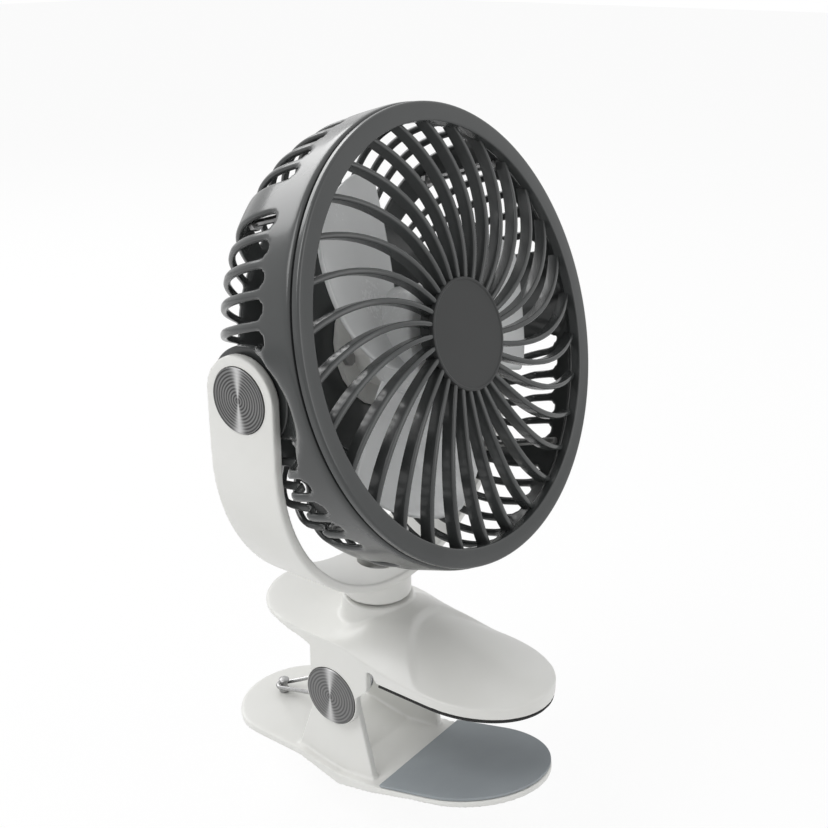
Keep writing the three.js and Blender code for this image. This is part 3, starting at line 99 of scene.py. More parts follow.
# %% A finish, with one method for every other node
class Finish:
    def __init__(self, name, **plain):
        self.material = bpy.data.materials.new(name)
        self.material.use_nodes = True
        self.tree = self.material.node_tree
        self.shader = self.tree.nodes["Principled BSDF"]
        for socket, value in plain.items():
            self.set(socket, value)

    def node(self, kind, settings=None, values=None, output=0):
        made = self.tree.nodes.new(kind)
        for name, value in (settings or {}).items():
            if name == "stops":
                ramp = made.color_ramp
                while len(ramp.elements) < len(value):
                    ramp.elements.new(0.5)
                for stop, (at, shade) in zip(ramp.elements, value):
                    stop.position, stop.color = at, (shade, shade, shade, 1)
            else:
                setattr(made, name, value)
        for name, value in (values or {}).items():
            self.connect(made.inputs[name], value)
        return Socket(self, made.outputs[output])

    def connect(self, target, value):
        if isinstance(value, Socket):
            self.tree.links.new(value.output, target)
        else:
            target.default_value = value

    def set(self, socket, value):
        self.connect(self.shader.inputs[socket.replace("_", " ")], value)

    def place(self):
        return self.node("ShaderNodeTexCoord", output="Object")

    def noise(self, scale, detail):
        return self.node("ShaderNodeTexNoise", {}, {"Vector": self.place(), "Scale": scale,
                                                    "Detail": detail}, "Fac")

    def ramp(self, mask, *stops):
        return self.node("ShaderNodeValToRGB", {"stops": stops}, {"Fac": mask})

    def mix(self, mask, first, second):
        return self.node("ShaderNodeMix", {"data_type": "RGBA"}, {0: mask, 6: first, 7: second}, 2)

    def bump(self, height, strength, distance):
        self.set("Normal", self.node("ShaderNodeBump", {}, {"Height": height,
                 "Strength": strength, "Distance": distance}))


def shade(value):
    """One of a photograph's 0-255 numbers as the light it stands for."""
    part = value / 255
    return part / 12.92 if part <= 0.04045 else ((part + 0.055) / 1.055) ** 2.4


def colour(red, green, blue):
    return (shade(red), shade(green), shade(blue), 1)


print("mid grey is", round(shade(128), 3))

# %% [markdown]
# ## Moulded plastic
# The shell is dark grey ABS with a polished mould, and the yoke, clamp and blades are pale.
# Real mouldings aren't one flat colour: polish varies in soft patches, and the surface has a
# very shallow ripple that breaks up reflections. Noise at two scales gives both.

# %% Plastics
def plastic(name, dark, light, gloss, ripple=0.02, coat=0.0, shine=0.5):
    made = Finish(name, Coat_Weight=coat, Coat_Roughness=0.08, Specular_IOR_Level=shine)
    patches = made.noise(28, 4)
    fine = made.noise(900, 2)
    made.set("Base Color", made.mix(made.ramp(patches, (0.3, 0), (0.7, 1)), dark, light))
    made.set("Roughness", gloss + patches * 0.08 + fine * 0.04)
    made.bump(fine + patches * 2, ripple, 0.0002)
    return made.material


GREY = plastic("grey_gloss_plastic", colour(58, 60, 60), colour(64, 66, 66), 0.17, 0.01, 0.2, 0.4)
HUB_GREY = plastic("hub_satin_plastic", colour(58, 59, 59), colour(62, 63, 63), 0.38, 0.05,
                   shine=0.22)
WHITE = plastic("white_satin_plastic", colour(217, 217, 213), colour(223, 223, 220), 0.27)
BLADE = plastic("blade_silver_plastic", colour(234, 236, 236), colour(241, 242, 242), 0.2)
DARK_TRIM = plastic("washer_plastic", colour(36, 36, 36), colour(44, 44, 44), 0.5)
CELL = plastic("cell_wrap", colour(40, 104, 160), colour(48, 112, 170), 0.35)
LENS = plastic("lens_plastic", colour(240, 244, 244), colour(246, 248, 248), 0.06, 0)
print("plastics made")

# %% [markdown]
# ## Rubber, metal and laminate
# The pads are matte, with a fine grain. Drawn wire is bright with faint lines. The caps over
# the pivots are turned on a lathe, so their rings run round the X axis that they sit on.

# %% Rubber and laminate
def rubber(name, dark, light):
    made = Finish(name, Metallic=0.0)
    grain = made.noise(2600, 2)
    patches = made.noise(60, 3)
    made.set("Base Color", made.mix(patches, dark, light))
    made.set("Roughness", 0.72 + grain * 0.15)
    made.bump(grain, 0.25, 0.0002)
    return made.material


BLACK_RUBBER = rubber("black_rubber", colour(24, 24, 24), colour(36, 36, 36))
GREY_RUBBER = rubber("grey_rubber", colour(138, 144, 148), colour(150, 156, 160))
BOARD = rubber("board_laminate", colour(38, 100, 62), colour(50, 120, 76))


# %% Metals
def metal(name, dark, light, rough):
    made = Finish(name, Metallic=1.0)
    streaks = made.noise(700, 2)
    made.set("Base Color", made.mix(streaks, dark, light))
    made.set("Roughness", rough + streaks * 0.12)
    made.bump(streaks, 0.06, 0.0001)
    return made.material


def spun_metal(name, dark, light, height, depth, pitch):
    """Rings round the X axis through a point at that height and depth, in metres, and a pair of
    painted highlight fans: a pale colour mixed into the base colour above and below the axis,
    standing for the streaks that the rings' fine grooves make of lamps overhead."""
    made = Finish(name, Metallic=1.0)
    parts = made.node("ShaderNodeSeparateXYZ", {}, {0: made.place()}, "Y")
    along = parts - depth
    up = Socket(made, parts.output.node.outputs["Z"]) - height
    radius = (along * along + up * up) ** 0.5
    rings = made.node("ShaderNodeMath", {"operation": "SINE"}, {0: radius * (2 * math.pi / pitch)})
    uneven = made.noise(1600, 2)
    upright = (up * up - along * along) * (radius ** -2)
    # painted highlight: two narrow fans straight above and below the axis, the same under any lamp
    fan = (upright * 0.5 + 0.5) ** 26
    ringed = made.mix(rings * 0.5 + 0.5, dark, light)
    # the pale grey here is the painted highlight's colour, mixed into the base colour
    made.set("Base Color", made.mix(fan, ringed, colour(195, 195, 195)))
    made.set("Roughness", 0.24 + uneven * 0.12)
    made.bump(rings + uneven * 0.5, 0.5, 0.00012)
    return made.material


STEEL = metal("satin_steel", colour(150, 150, 150), colour(176, 176, 176), 0.28)
WIRE = metal("drawn_spring_wire", colour(150, 150, 150), colour(190, 190, 190), 0.2)
PIVOT_METAL = spun_metal("pivot_spun_metal_painted_fans", colour(66, 66, 66), colour(128, 128, 128),
                         0.1247, 0.047, 0.0011)
CLAMP_METAL = spun_metal("clamp_spun_metal_painted_fans", colour(92, 92, 92), colour(128, 128, 128),
                         -0.013, 0.0495, 0.0013)
print(len(bpy.data.materials), "materials in the file")

# %% [markdown]
# ## From a drawing to a piece
# Most pieces here are turned or moulded, so a section is drawn as points, its corners are
# rounded to the radius that the mould has, and the section is spun. A piece ends as an object
# at the origin, on the body it moves with, in place of the CAD node that it stands for.

# %% Round the corners of a section
def softened(points, radius=0.6, steps=4):
    """The same open row of points with each inner corner turned into a small arc."""
    made = [Vector(points[0][:2])]
    for before, corner, after in zip(points, points[1:], points[2:]):
        at = Vector(corner[:2])
        back, on = Vector(before[:2]) - at, Vector(after[:2]) - at
        size = corner[2] if len(corner) > 2 else radius
        reach = min(size, back.length * 0.45, on.length * 0.45)
        start, end = at + back.normalized() * reach, at + on.normalized() * reach
        for i in range(steps + 1):
            t = i / steps
            made.append(start * (1 - t) ** 2 + at * 2 * t * (1 - t) + end * t * t)
    return [*made, Vector(points[-1][:2])]


# %% Spin a section
AXES = {"X": (1, 0, 0), "Y": (0, 1, 0), "Z": (0, 0, 1)}


def spun(points, steps=96, axis="Y", bm=None):
    """Spins rows of (radius, place along the axis) round it."""
    bm = bm or bmesh.new()
    corner = {"X": lambda r, a: (a, 0, r), "Y": lambda r, a: (r, a, 0), "Z": lambda r, a: (r, 0, a)}
    verts = [bm.verts.new(corner[axis](r, a)) for r, a in points]
    edges = [bm.edges.new(pair) for pair in zip(verts, verts[1:])]
    bmesh.ops.spin(bm, geom=verts + edges, cent=(0, 0, 0), axis=AXES[axis],
                   angle=2 * math.pi, steps=steps, use_merge=True)
    bmesh.ops.remove_doubles(bm, verts=bm.verts, dist=0.002)
    return bm


def looped(points, radius=0.6, steps=4):
    """A closed section: the row is rounded and comes back to where it started."""
    middle = (Vector(points[0][:2]) + Vector(points[-1][:2])) / 2
    return softened([tuple(middle), *points, tuple(middle)], radius, steps)


def deep(points):
    """Head sections are drawn with depths; this moves them to the tilt axis."""
    return [(p[0], p[1] - PIVOT_DEPTH, *p[2:]) for p in points]


# %% Turn a bmesh into an object, or add it to another bmesh
def added(target, bm):
    """Copies one bmesh into another and frees it."""
    mesh = bpy.data.meshes.new("added")
    bm.to_mesh(mesh)
    bm.free()
    target.from_mesh(mesh)
    bpy.data.meshes.remove(mesh)
    return target


def put(name, data):
    """A new object at the origin, in the scene."""
    made = bpy.data.objects.new(name, data)
    bpy.context.scene.collection.objects.link(made)
    return made


def to_object(name, bm, place):
    bmesh.ops.transform(bm, matrix=place, verts=bm.verts)
    bmesh.ops.recalc_face_normals(bm, faces=bm.faces)
    mesh = bpy.data.meshes.new(name)
    bm.to_mesh(mesh)
    bm.free()
    return put(name, mesh)


def baked(obj):
    """Applies an object's modifiers, so that what follows works on the shape that they give."""
    graph = bpy.context.evaluated_depsgraph_get()
    mesh = bpy.data.meshes.new_from_object(obj.evaluated_get(graph))
    obj.modifiers.clear()
    old, obj.data = obj.data, mesh
    bpy.data.meshes.remove(old)
    return obj


def modify(obj, kind, **settings):
    modifier = obj.modifiers.new(kind.title(), kind)
    for name, value in settings.items():
        setattr(modifier, name, value)
    return obj


# %% Dress an object
def dress(obj, material, body, slot, *stands_for, angle=35):
    mesh = obj.data
    mesh.materials.clear()
    mesh.materials.append(material)
    mesh.polygons.foreach_set("use_smooth", [True] * len(mesh.polygons))
    mesh.set_sharp_from_angle(angle=math.radians(angle))
    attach(obj, body)
    if stands_for:
        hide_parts(*stands_for)
    print(f"{obj.name}: {len(mesh.polygons)} faces")
    return obj


# %% Cut one object with others
def carve(obj, *tools):
    """Cuts the tools out of an object and removes them."""
    for tool in tools:
        modify(obj, "BOOLEAN", object=tool, operation="DIFFERENCE", solver="EXACT")
        baked(obj)
        bpy.data.objects.remove(tool)
    return obj


def rod(axis, start, end, radius, place, across=(0, 0), sides=48):
    """A plain round bar, used to cut holes."""
    bm = spun([(0, start), (radius, start), (radius, end), (0, end)], sides, axis)
    shift = {"X": (0, *across), "Y": (across[0], 0, across[1]), "Z": (*across, 0)}[axis]
    bmesh.ops.translate(bm, vec=shift, verts=bm.verts)
    return to_object("tool", bm, place)


print("helpers ready")

# %% [markdown]
# ## The front ring
# The ring is one glossy moulding with a generous round on its outer edge and a short wall
# inside. It could be a torus with a flat cut on it, but its section has both flat and round
# parts, so the section is drawn, rounded corner by corner, and spun.

# %% The front ring and the seat in its middle
RING_R, OPENING_R = 80.2, 73.4
bezel = spun(deep(looped([
    (OPENING_R, 0.1, 0.7), (RING_R, 0, 2.4), (RING_R, 2.55, 0.2), (78.5, 2.55, 0.2),
    (78.5, 7.4, 0.4), (76.6, 7.4, 0.4), (76.4, 6, 0.8), (OPENING_R, 4.2, 0.6)], steps=6)), 180)
spun(deep([(0, 0.1), (18.8, 0.1), (18.8, 4.4), (0, 4.4)]), 96, bm=bezel)
print(len(bezel.verts), "points in the ring and the seat")

# %% [markdown]
# ## Swept ribs
# Each rib leaves the middle, bows forward like a shallow dome and sweeps round to the ring.
# A curve with a bevel could draw it, but a rib is a blade: narrow from the front and deep
# along the air. A long box is cut into steps, its edges are rounded, and every point is moved
# to its place on the sweep. Spin with duplicates then gives the other ribs.

# %% One rib, then thirty
RIBS, SWEEP, BOW = 30, 22.25, 0.39
RIB_FROM, RIB_TO = 17.6, 74.2


def on_rib(point):
    """Moves a point of the straight box: x along the rib from 0 to 1, z across, y deep."""
    s = point.x
    radius = RIB_FROM + (RIB_TO - RIB_FROM) * s
    turn = math.radians(SWEEP * (s - BOW * s * (1 - s)))
    front = -(1.6 - 4.2 * s + 12.8 * s * (1 - s))
    wide = point.z * (0.85 + 0.25 * s)
    return Vector((radius * math.cos(turn) - wide * math.sin(turn),
                   front + point.y - PIVOT_DEPTH,
                   radius * math.sin(turn) + wide * math.cos(turn)))


rib = bmesh.new()
bmesh.ops.create_cube(rib, size=1)
bmesh.ops.transform(rib, matrix=Matrix.Translation((0.5, 2.3, 0)) @ Matrix.Diagonal((1, 4.6, 2.2, 1)),
                    verts=rib.verts)
edges_along = [e for e in rib.edges if abs(e.verts[0].co.x - e.verts[1].co.x) > 0.5]
front_edges = [e for e in edges_along if e.verts[0].co.y < 1]
bmesh.ops.bevel(rib, geom=front_edges, offset=0.75, segments=3, profile=0.5, affect="EDGES",
                material=-1)
edges_along = [e for e in rib.edges if abs(e.verts[0].co.x - e.verts[1].co.x) > 0.5]
bmesh.ops.subdivide_edges(rib, edges=edges_along, cuts=15, use_grid_fill=True)
for vert in rib.verts:
    vert.co = on_rib(vert.co)
bmesh.ops.spin(rib, geom=rib.verts[:] + rib.edges[:] + rib.faces[:], cent=(0, 0, 0),
               axis=(0, 1, 0), angle=2 * math.pi * (RIBS - 1) / RIBS, steps=RIBS - 1,
               use_duplicate=True)
dress(to_object("grille", added(bezel, rib), HEAD), GREY, "fan_head", "grey_plastic", "front_grille")

# %% [markdown]
# ## The hub disc
# A bare satin disc closes the middle of the grille. Its raised rim catches a thin line of
# light, and its face is very slightly hollow, so it never looks like a plain cylinder.

# %% The hub disc
disc = spun(deep(softened([(0, -1.65), (15, -1.75, 8), (18.6, -1.85, 0.3), (18.9, -2.2, 0.25),
                           (19.8, -2.2, 0.5), (19.8, -0.3, 0.2), (0, -0.3)], 0.3, 5)), 120)
dress(to_object("hub_disc", disc, HEAD), HUB_GREY, "fan_head", "grey_plastic", "hub_cap")

# %% [markdown]
# ## The slotted housing
# The housing is one thin shell that rounds over from its side to its back, cut by long slots
# that run over the shoulder. Boolean cuts would leave hard, thin edges. Instead the shell is a
# fine grid, the faces where there is a slot are deleted, the sheet gets its wall with
# Solidify, and one level of subdivision rounds every slot end and bar as a mould does.

# %% The section of the housing
HEAD_R, BACK_DEPTH, SHOULDER, FLAT_R, POWER = 81, 57.2, 16, 21, 2.67
POD_R = 41


def shoulder(steps):
    end = math.acos(((POD_R - FLAT_R) / (HEAD_R - FLAT_R)) ** (POWER / 2))
    for i in range(1, steps + 1):
        # Steps are even along the curve's own angle, closer together near the side.
        angle = end * i / steps
        yield (FLAT_R + (HEAD_R - FLAT_R) * math.cos(angle) ** (2 / POWER),
               SHOULDER + (BACK_DEPTH - SHOULDER) * math.sin(angle) ** (2 / POWER))


side = [(80.35, 2.95), (80.9, 4.2), (81, 6), (81, 8.5), (81, 11), (81, 13.2), (81, 14.8), (81, 16)]
section = deep([*side, *shoulder(22)])
print(len(section), "rings from lip to pod")

# %% The hollow for the yoke's arms
ARM_INNER, FLOOR, CLEAR = 66.8, 64.5, 1.4


def hollow_x(forward, up):
    """How far out the housing may reach beside a pivot, at a place in the side's plane."""
    high = 0.0
    for _ in range(24):
        lean = high / 18.5
        apart = math.hypot(forward - 4 * lean, up + 7 * lean)
        high = max(0.0, (apart - 18) / 0.703)
    limit = FLOOR + high
    apart = math.hypot(forward, up)
    edge = forward * math.cos(math.radians(7)) - up * math.sin(math.radians(7))
    under_arm = apart <= 16.4 or (up <= 0 and edge <= 17.6) or (forward <= 0 and up <= 16.4)
    if under_arm and apart <= 61.4:
        out = max(0.0, apart - 21.4)
        path = FLOOR if out == 0 else math.sqrt(ARM_INNER ** 2 - out ** 2) - CLEAR
        limit = min(limit, path)
    return limit


# %% Spin the grid, open the slots and press in the hollows
PLACES, FINE, OPEN_SHARE = 52, 6, 0.667
shell = bmesh.new()
row = [shell.verts.new((r, d, 0)) for r, d in section]
row_edges = [shell.edges.new(pair) for pair in zip(row, row[1:])]
start = Matrix.Rotation(math.pi / PLACES, 4, "Y")
bmesh.ops.transform(shell, matrix=start, verts=shell.verts)
bmesh.ops.spin(shell, geom=row + row_edges, cent=(0, 0, 0), axis=(0, 1, 0), angle=2 * math.pi,
               steps=PLACES * FINE, use_merge=True)
SCREWS = (48.5, 131.5, 228.5, 311.5)


def slot_here(face):
    middle = face.calc_center_median()
    turn = math.degrees(math.atan2(middle.z, middle.x)) % 360
    place = round(turn / (360 / PLACES))
    angle = place * 360 / PLACES
    across = abs(turn - angle) / (180 / PLACES)
    radius, depth = math.hypot(middle.x, middle.z), middle.y + PIVOT_DEPTH
    near_pivot = min(abs((angle - pivot + 180) % 360 - 180) for pivot in (0, 180)) < 11
    near_screw = min(abs(angle - screw) for screw in SCREWS) < 3.4
    if near_pivot or near_screw or across > OPEN_SHARE:
        return False
    starts = 15 if across < 0.3 else 17
    ends = 57.2 if across < 0.3 else 58.6
    return depth > starts and radius > ends


open_faces = [face for face in shell.faces if slot_here(face)]
bmesh.ops.delete(shell, geom=open_faces, context="FACES")
for vert in shell.verts:
    if abs(vert.co.x) > 52:
        limit = hollow_x(-vert.co.y, vert.co.z)
        vert.co.x = math.copysign(min(abs(vert.co.x), limit), vert.co.x)
print(len(open_faces), "faces opened,", len(shell.faces), "left")

# %% Give the sheet its wall and round it
housing = to_object("housing", shell, HEAD)
modify(housing, "SOLIDIFY", thickness=0.0022, offset=-1)
modify(housing, "SUBSURF", levels=1, render_levels=1)
baked(housing)

# %% Pivot seats, motor plate, screw posts and the pod's wall
inner = bmesh.new()
for way in (1, -1):
    seat = [(3.3, 57.7, 0.2), (7, 57.7, 0.6), (7, 62.6, 0.8), (17, 62.6, 0.3), (17, 65.7, 0.7),
            (3.3, 65.7, 0.3)]
    spun([(r, way * x) for r, x in looped(seat, 0.4)], 72, "X", inner)
spun(deep(looped([(3.6, 42), (41, 42), (41, 56.2), (38.8, 56.2), (38.8, 44.4), (3.6, 44.4)], 0.4)),
     96, "Y", inner)
for degrees in (45, 135, 225, 315):
    post = spun(deep([(1.5, 43), (3.4, 43), (3.4, 57.7), (1.5, 57.7), (1.5, 43)]), 20)
    at = Matrix.Rotation(-math.radians(degrees), 4, "Y") @ Matrix.Translation((33.5, 0, 0))
    bmesh.ops.transform(post, matrix=at, verts=post.verts)
    added(inner, post)
fittings = to_object("housing_fittings", inner, HEAD)
dress(housing, GREY, "fan_head", "grey_plastic", "rear_shell", angle=50)
dress(fittings, GREY, "fan_head", "grey_plastic", angle=40)

# %% [markdown]
# ## The pod's cover
# A round cover closes the battery pod at the back. It has a soft corner, four screw wells, a
# hole for the button, a small one for the charge light and a mouth for the charging plug.
# The dish is spun, and the holes are cut with short bars, as a mould's pins leave them.

# %% The pod's cover
dish = [(0, 67), (30, 66.9, 6), (41, 66.2, 6), (41, 56.66, 0.4), (38.8, 56.66, 0.4), (38.8, 64.6, 4),
        (30, 65.2, 4), (0, 65.2)]
cover = to_object("pod_cover", spun(deep(softened(dish, 0.4, 6)), 128), HEAD)
BUTTON_UP, LENS_SIDE = -21, 11
tools = [rod("Y", 20, 30, 4.9, HEAD, (0, BUTTON_UP)),
         rod("Y", 20, 30, 1.9, HEAD, (LENS_SIDE, BUTTON_UP))]
for degrees in (45, 135, 225, 315):
    across = (33.5 * math.cos(math.radians(degrees)), 33.5 * math.sin(math.radians(degrees)))
    tools.append(rod("Y", 19.5, 30, 2.7, HEAD, across, 32))
mouth = bmesh.new()
bmesh.ops.create_cube(mouth, size=1)
bmesh.ops.transform(mouth, matrix=Matrix.Translation((0, 60.7 - PIVOT_DEPTH, -39)) @
                    Matrix.Diagonal((9.6, 3.8, 12, 1)), verts=mouth.verts)
bmesh.ops.bevel(mouth, geom=mouth.edges[:], offset=1.2, segments=3, profile=0.5, affect="EDGES",
                material=-1)
tools.append(to_object("tool", mouth, HEAD))
carve(cover, *tools)
modify(cover, "BEVEL", width=0.0003, segments=2, limit_method="ANGLE", angle_limit=math.radians(50))
dress(cover, GREY, "fan_head", "grey_plastic", "rear_cover", angle=40)

# %% The button
button = spun(deep(softened([(0, 60.6), (2.3, 60.6), (2.3, 62.4), (5.8, 62.4), (5.8, 63.8),
                             (4.6, 63.8), (4.6, 68, 0.8), (3.2, 67.9, 0.6), (2.6, 67.4, 0.8),
                             (0, 67.35)], 0.3, 4)), 64)
bmesh.ops.translate(button, vec=(0, 0, BUTTON_UP), verts=button.verts)
dress(to_object("speed_key", button, HEAD), HUB_GREY, "button", "grey_plastic", "speed_button")

# %% [markdown]
# ## The impeller
# Three wide blades grow from a cup that hides the motor. Each is a curved sheet that is widest
# at its root, and its tip lags behind. A grid is moved to that surface, given its wall by
# Solidify and rounded by one subdivision.

# %% The impeller's cup
rotor = spun(deep(softened([(0, 9.6), (18.4, 9.6, 2.2), (20, 12.5, 1.5), (20, 28, 0.6), (18, 28, 0.6),
                            (18, 11.6, 1), (3.6, 11.6, 0.6), (3.6, 16), (1.55, 16),
                            (1.55, 10.6), (0, 10.6)], 0.3, 5)), 96)
cup = to_object("impeller_cup", rotor, HEAD)

# %% The blades
BLADES, BLADE_TIP = 3, 63.4
fan = bmesh.new()
bmesh.ops.create_grid(fan, x_segments=22, y_segments=24, size=1)
for vert in fan.verts:
    s, c = (vert.co.x + 1) / 2, (vert.co.y + 1) / 2
    corner = max(0, abs(c - 0.5) * 2 - 0.55) / 0.45
    radius = 19.2 + (BLADE_TIP - 19.2) * s * (1 - 0.05 * corner ** 2)
    arc = math.radians(112 - 65 * s)
    turn = math.radians(24 - 26 * s) + arc * (c - 0.5)
    depth = (27 - 7.5 * s) * (1 - c) + 12 * c + 2.2 * math.sin(math.pi * c)
    vert.co = (radius * math.cos(turn), depth - PIVOT_DEPTH, radius * math.sin(turn))
bmesh.ops.spin(fan, geom=fan.verts[:] + fan.edges[:] + fan.faces[:], cent=(0, 0, 0),
               axis=(0, 1, 0), angle=2 * math.pi * (BLADES - 1) / BLADES, steps=BLADES - 1,
               use_duplicate=True)
blades = to_object("impeller_blades", fan, HEAD)
modify(blades, "SOLIDIFY", thickness=0.0015, offset=0)
modify(blades, "SUBSURF", levels=1, render_levels=1)
baked(blades)
dress(cup, BLADE, "fan_rotor", "blade_plastic", "impeller")
dress(blades, BLADE, "fan_rotor", "blade_plastic", angle=60)

# %% [markdown]
# ## Moulded blocks
# The yoke and the jaws are single mouldings whose parts flow into each other. Modelling every
# fillet by hand is slow and fragile. Here the plain blocks overlap, a voxel remesh melts them
# into one skin, and a few rounds of smoothing give the fillets. Holes and seats are cut after
# that, so that they stay crisp.

# %% Blocks and melting
def slab(outline, axis, start, end, bm=None):
    """An outline pulled out along an axis, as a closed block."""
    bm = bm or bmesh.new()
    corner = {"X": lambda a, b: (start, a, b), "Y": lambda a, b: (a, start, b),
              "Z": lambda a, b: (a, b, start)}[axis]
    face = bm.faces.new([bm.verts.new(corner(a, b)) for a, b in outline])
    pulled = bmesh.ops.extrude_face_region(bm, geom=[face])
    moved = [item for item in pulled["geom"] if isinstance(item, bmesh.types.BMVert)]
    bmesh.ops.translate(bm, vec=Vector(AXES[axis]) * (end - start), verts=moved)
    return bm


def arc(centre, radius, start, end, steps):
    for i in range(steps + 1):
        turn = math.radians(start + (end - start) * i / steps)
        yield (centre[0] + radius * math.cos(turn), centre[1] + radius * math.sin(turn))


def trimmed(obj, tool):
    """Keeps what an object has in common with a tool, and removes the tool."""
    modify(obj, "BOOLEAN", object=tool, operation="INTERSECT", solver="EXACT")
    baked(obj)
    bpy.data.objects.remove(tool)
    return obj


def melted(obj, voxel, rounds):
    modify(obj, "REMESH", mode="VOXEL", voxel_size=voxel * 0.001)
    modify(obj, "SMOOTH", factor=0.5, iterations=rounds)
    return baked(obj)


def merged(obj, *others):
    """Puts the others' meshes into the first object's, still overlapping."""
    bm = bmesh.new()
    for part in (obj, *others):
        bm.from_mesh(part.data)
    bm.to_mesh(obj.data)
    bm.free()
    for part in others:
        bpy.data.objects.remove(part)
    return obj


# %% [markdown]
# ## The yoke
# A flat band bends into a U, ends in two round ears and stands on a short neck. The band is
# drawn from the front and pulled back, and a stadium seen from the side trims its ears.

# %% The yoke
YOKE_R, EAR_UP, BEND_UP = 70.4, 124.7, 103.3
band = [(-YOKE_R, 141), *arc((0, BEND_UP), YOKE_R, 180, 360, 90), (YOKE_R, 141), (ARM_INNER, 141),
        *arc((0, BEND_UP), ARM_INNER, 360, 180, 90), (-ARM_INNER, 141)]
yoke = to_object("yoke_arm", slab(band, "Y", -15, 15), NECK)
ears = slab([(-15, 0), (15, 0), *arc((0, EAR_UP), 15, 0, 180, 60)], "X", -75, 75)
trimmed(yoke, to_object("tool", ears, NECK))
neck = spun([(0, 23.5), (13.3, 23.5), (13.3, 34), (13.9, 35.2), (0, 35.2)], 72, "Z")
neck = to_object("tool", neck, NECK)
melted(merged(yoke, neck), 0.55, 5)
cuts = [rod("Z", 28, 60, 8.2, NECK), rod("Z", 10, 40, PIN_BORE, NECK)]
for way in (1, -1):
    cuts.append(rod("X", way * 68.5, way * 75, 11.6, NECK, (0, EAR_UP), 96))
    cuts.append(rod("X", way * 60, way * 72, PIN_BORE, NECK, (0, EAR_UP)))
carve(yoke, *cuts)
dress(yoke, WHITE, "yoke_arm", "white_plastic", "yoke", angle=48)

# %% [markdown]
# ## Spun caps
# Dark metal caps hide the pins. A lathe leaves rings on them that pull every highlight into
# a pair of bright fans, and here those fans are a painted highlight: a pale colour mixed into
# the finish above and below the axis. The shape is a shallow dish with a thin raised rim, and
# the rings are in the finish, as a sine of the distance from the axis.

# %% The four caps
for side, way in (("left", -1), ("right", 1)):
    cap = [(0, 70.0), (10.4, 70.0), (10.4, 68.8), (11.3, 68.8), (11.3, 70.95, 0.3),
           (10.5, 70.95, 0.15), (10.2, 70.7, 0.1), (3, 70.78, 1), (0, 70.78)]
    cap = spun([(r, way * x) for r, x in softened(cap, 0.15, 4)], 128, "X")
    bmesh.ops.translate(cap, vec=(0, 0, EAR_UP), verts=cap.verts)
    dress(to_object(f"pivot_disc_{side}", cap, NECK), PIVOT_METAL, "yoke_arm", "spun_metal",
          f"pivot_cap_{side}", angle=50)
    cap = [(0, 25.7), (12, 25.7), (12, 27.3, 0.3), (11.4, 27.6, 0.3), (4, 27.75, 2), (0, 27.75)]
    cap = spun([(r, way * x) for r, x in softened(cap, 0.2, 4)], 128, "X")
    bmesh.ops.translate(cap, vec=(0, *AXLE), verts=cap.verts)
    dress(to_object(f"clamp_disc_{side}", cap, NECK), CLAMP_METAL, "clamp_base", "spun_metal",
          f"clamp_cap_{side}", angle=50)

# %% [markdown]
# ## The upper jaw
# From above the jaw is a long tongue with round ends. Its nose is a whale's back that climbs
# from the tip to a round tower under the neck, with a shallow spoon before it, and behind
# the tower it thins to a flat lever. A grid is laid over that plan, lifted to the height of
# the top and pulled down to the sole. The tower and the two cheeks join it in the melt.

# %% The jaw's lines
TIP, NOSE, TAIL, END = -79.2, -44.3, 24, 51.5
EDGE = [(-79.2, 7.0), (-70, 6), (-60, 5.4), (-44, 5.3), (-26, 6), (-14, 8.5), (-2, 11.3), (12, 11.6),
        (24, 12.2), (51.5, 13.2)]
RIDGE = [(-79.2, 7.8), (-76, 9), (-71, 10.5), (-66, 12), (-55, 15.6), (-42, 18.9), (-27.5, 21),
         (-14, 21.8), (-8, 21.4), (2, 15), (10, 13.7), (24, 13.6), (51.5, 13.6)]
SOLE = [(-90, 1.3), (-20, 1.3), (-18.6, 4.4), (-12, 5.4), (12.6, 6), (18, 7.8), (31, 10.7), (52, 11.2)]


def along(rows, y):
    """A smooth line through rows of (distance, height)."""
    y = min(max(y, rows[0][0]), rows[-1][0])
    i = max(k for k in range(len(rows) - 1) if rows[k][0] <= y)

    def slope(k):
        low, high = rows[max(k - 1, 0)], rows[min(k + 1, len(rows) - 1)]
        return (high[1] - low[1]) / (high[0] - low[0])

    (y0, z0), (y1, z1) = rows[i], rows[i + 1]
    span = y1 - y0
    t = (y - y0) / span
    return (z0 * (1 + 2 * t) * (1 - t) ** 2 + z1 * t * t * (3 - 2 * t)
            + span * (slope(i) * t * (1 - t) ** 2 - slope(i + 1) * t * t * (1 - t)))


def straight(rows, y):
    for (y0, z0), (y1, z1) in zip(rows, rows[1:]):
        if y <= y1:
            return z0 + (z1 - z0) * (y - y0) / (y1 - y0)
    return rows[-1][1]


def half_width(y, nose, tip, tail, end, inset=0.0):
    past = max((nose - y) / (nose - tip - inset), (y - tail) / (end - inset - tail), 0)
    return (27 - inset) * math.sqrt(max(1 - past * past, 0))


def spaced(v, nose, tip, tail, end):
    """Even steps of v from 0 to 1, packed together towards the round ends."""
    if v < 0.35:
        return nose - (nose - tip) * math.cos(math.pi / 2 * v / 0.35) * 0.9995
    if v > 0.7:
        return tail + (end - tail) * math.sin(math.pi / 2 * (v - 0.7) / 0.3) * 0.9995
    return nose + (tail - nose) * (v - 0.35) / 0.35


def jaw_top(x, y, wide):
    edge, ridge = along(EDGE, y), along(RIDGE, y)
    crown = edge + (ridge - edge) * (1 - (x / wide) ** 2)
    past = min(max((-21 - 16 * (x / 27) ** 2 - y) / 4.5, 0), 1)
    fade = min(max((y + 76) / 30, 0), 1)
    return crown - 2.5 * past * past * (3 - 2 * past) * fade * (1 - (x / wide) ** 4)


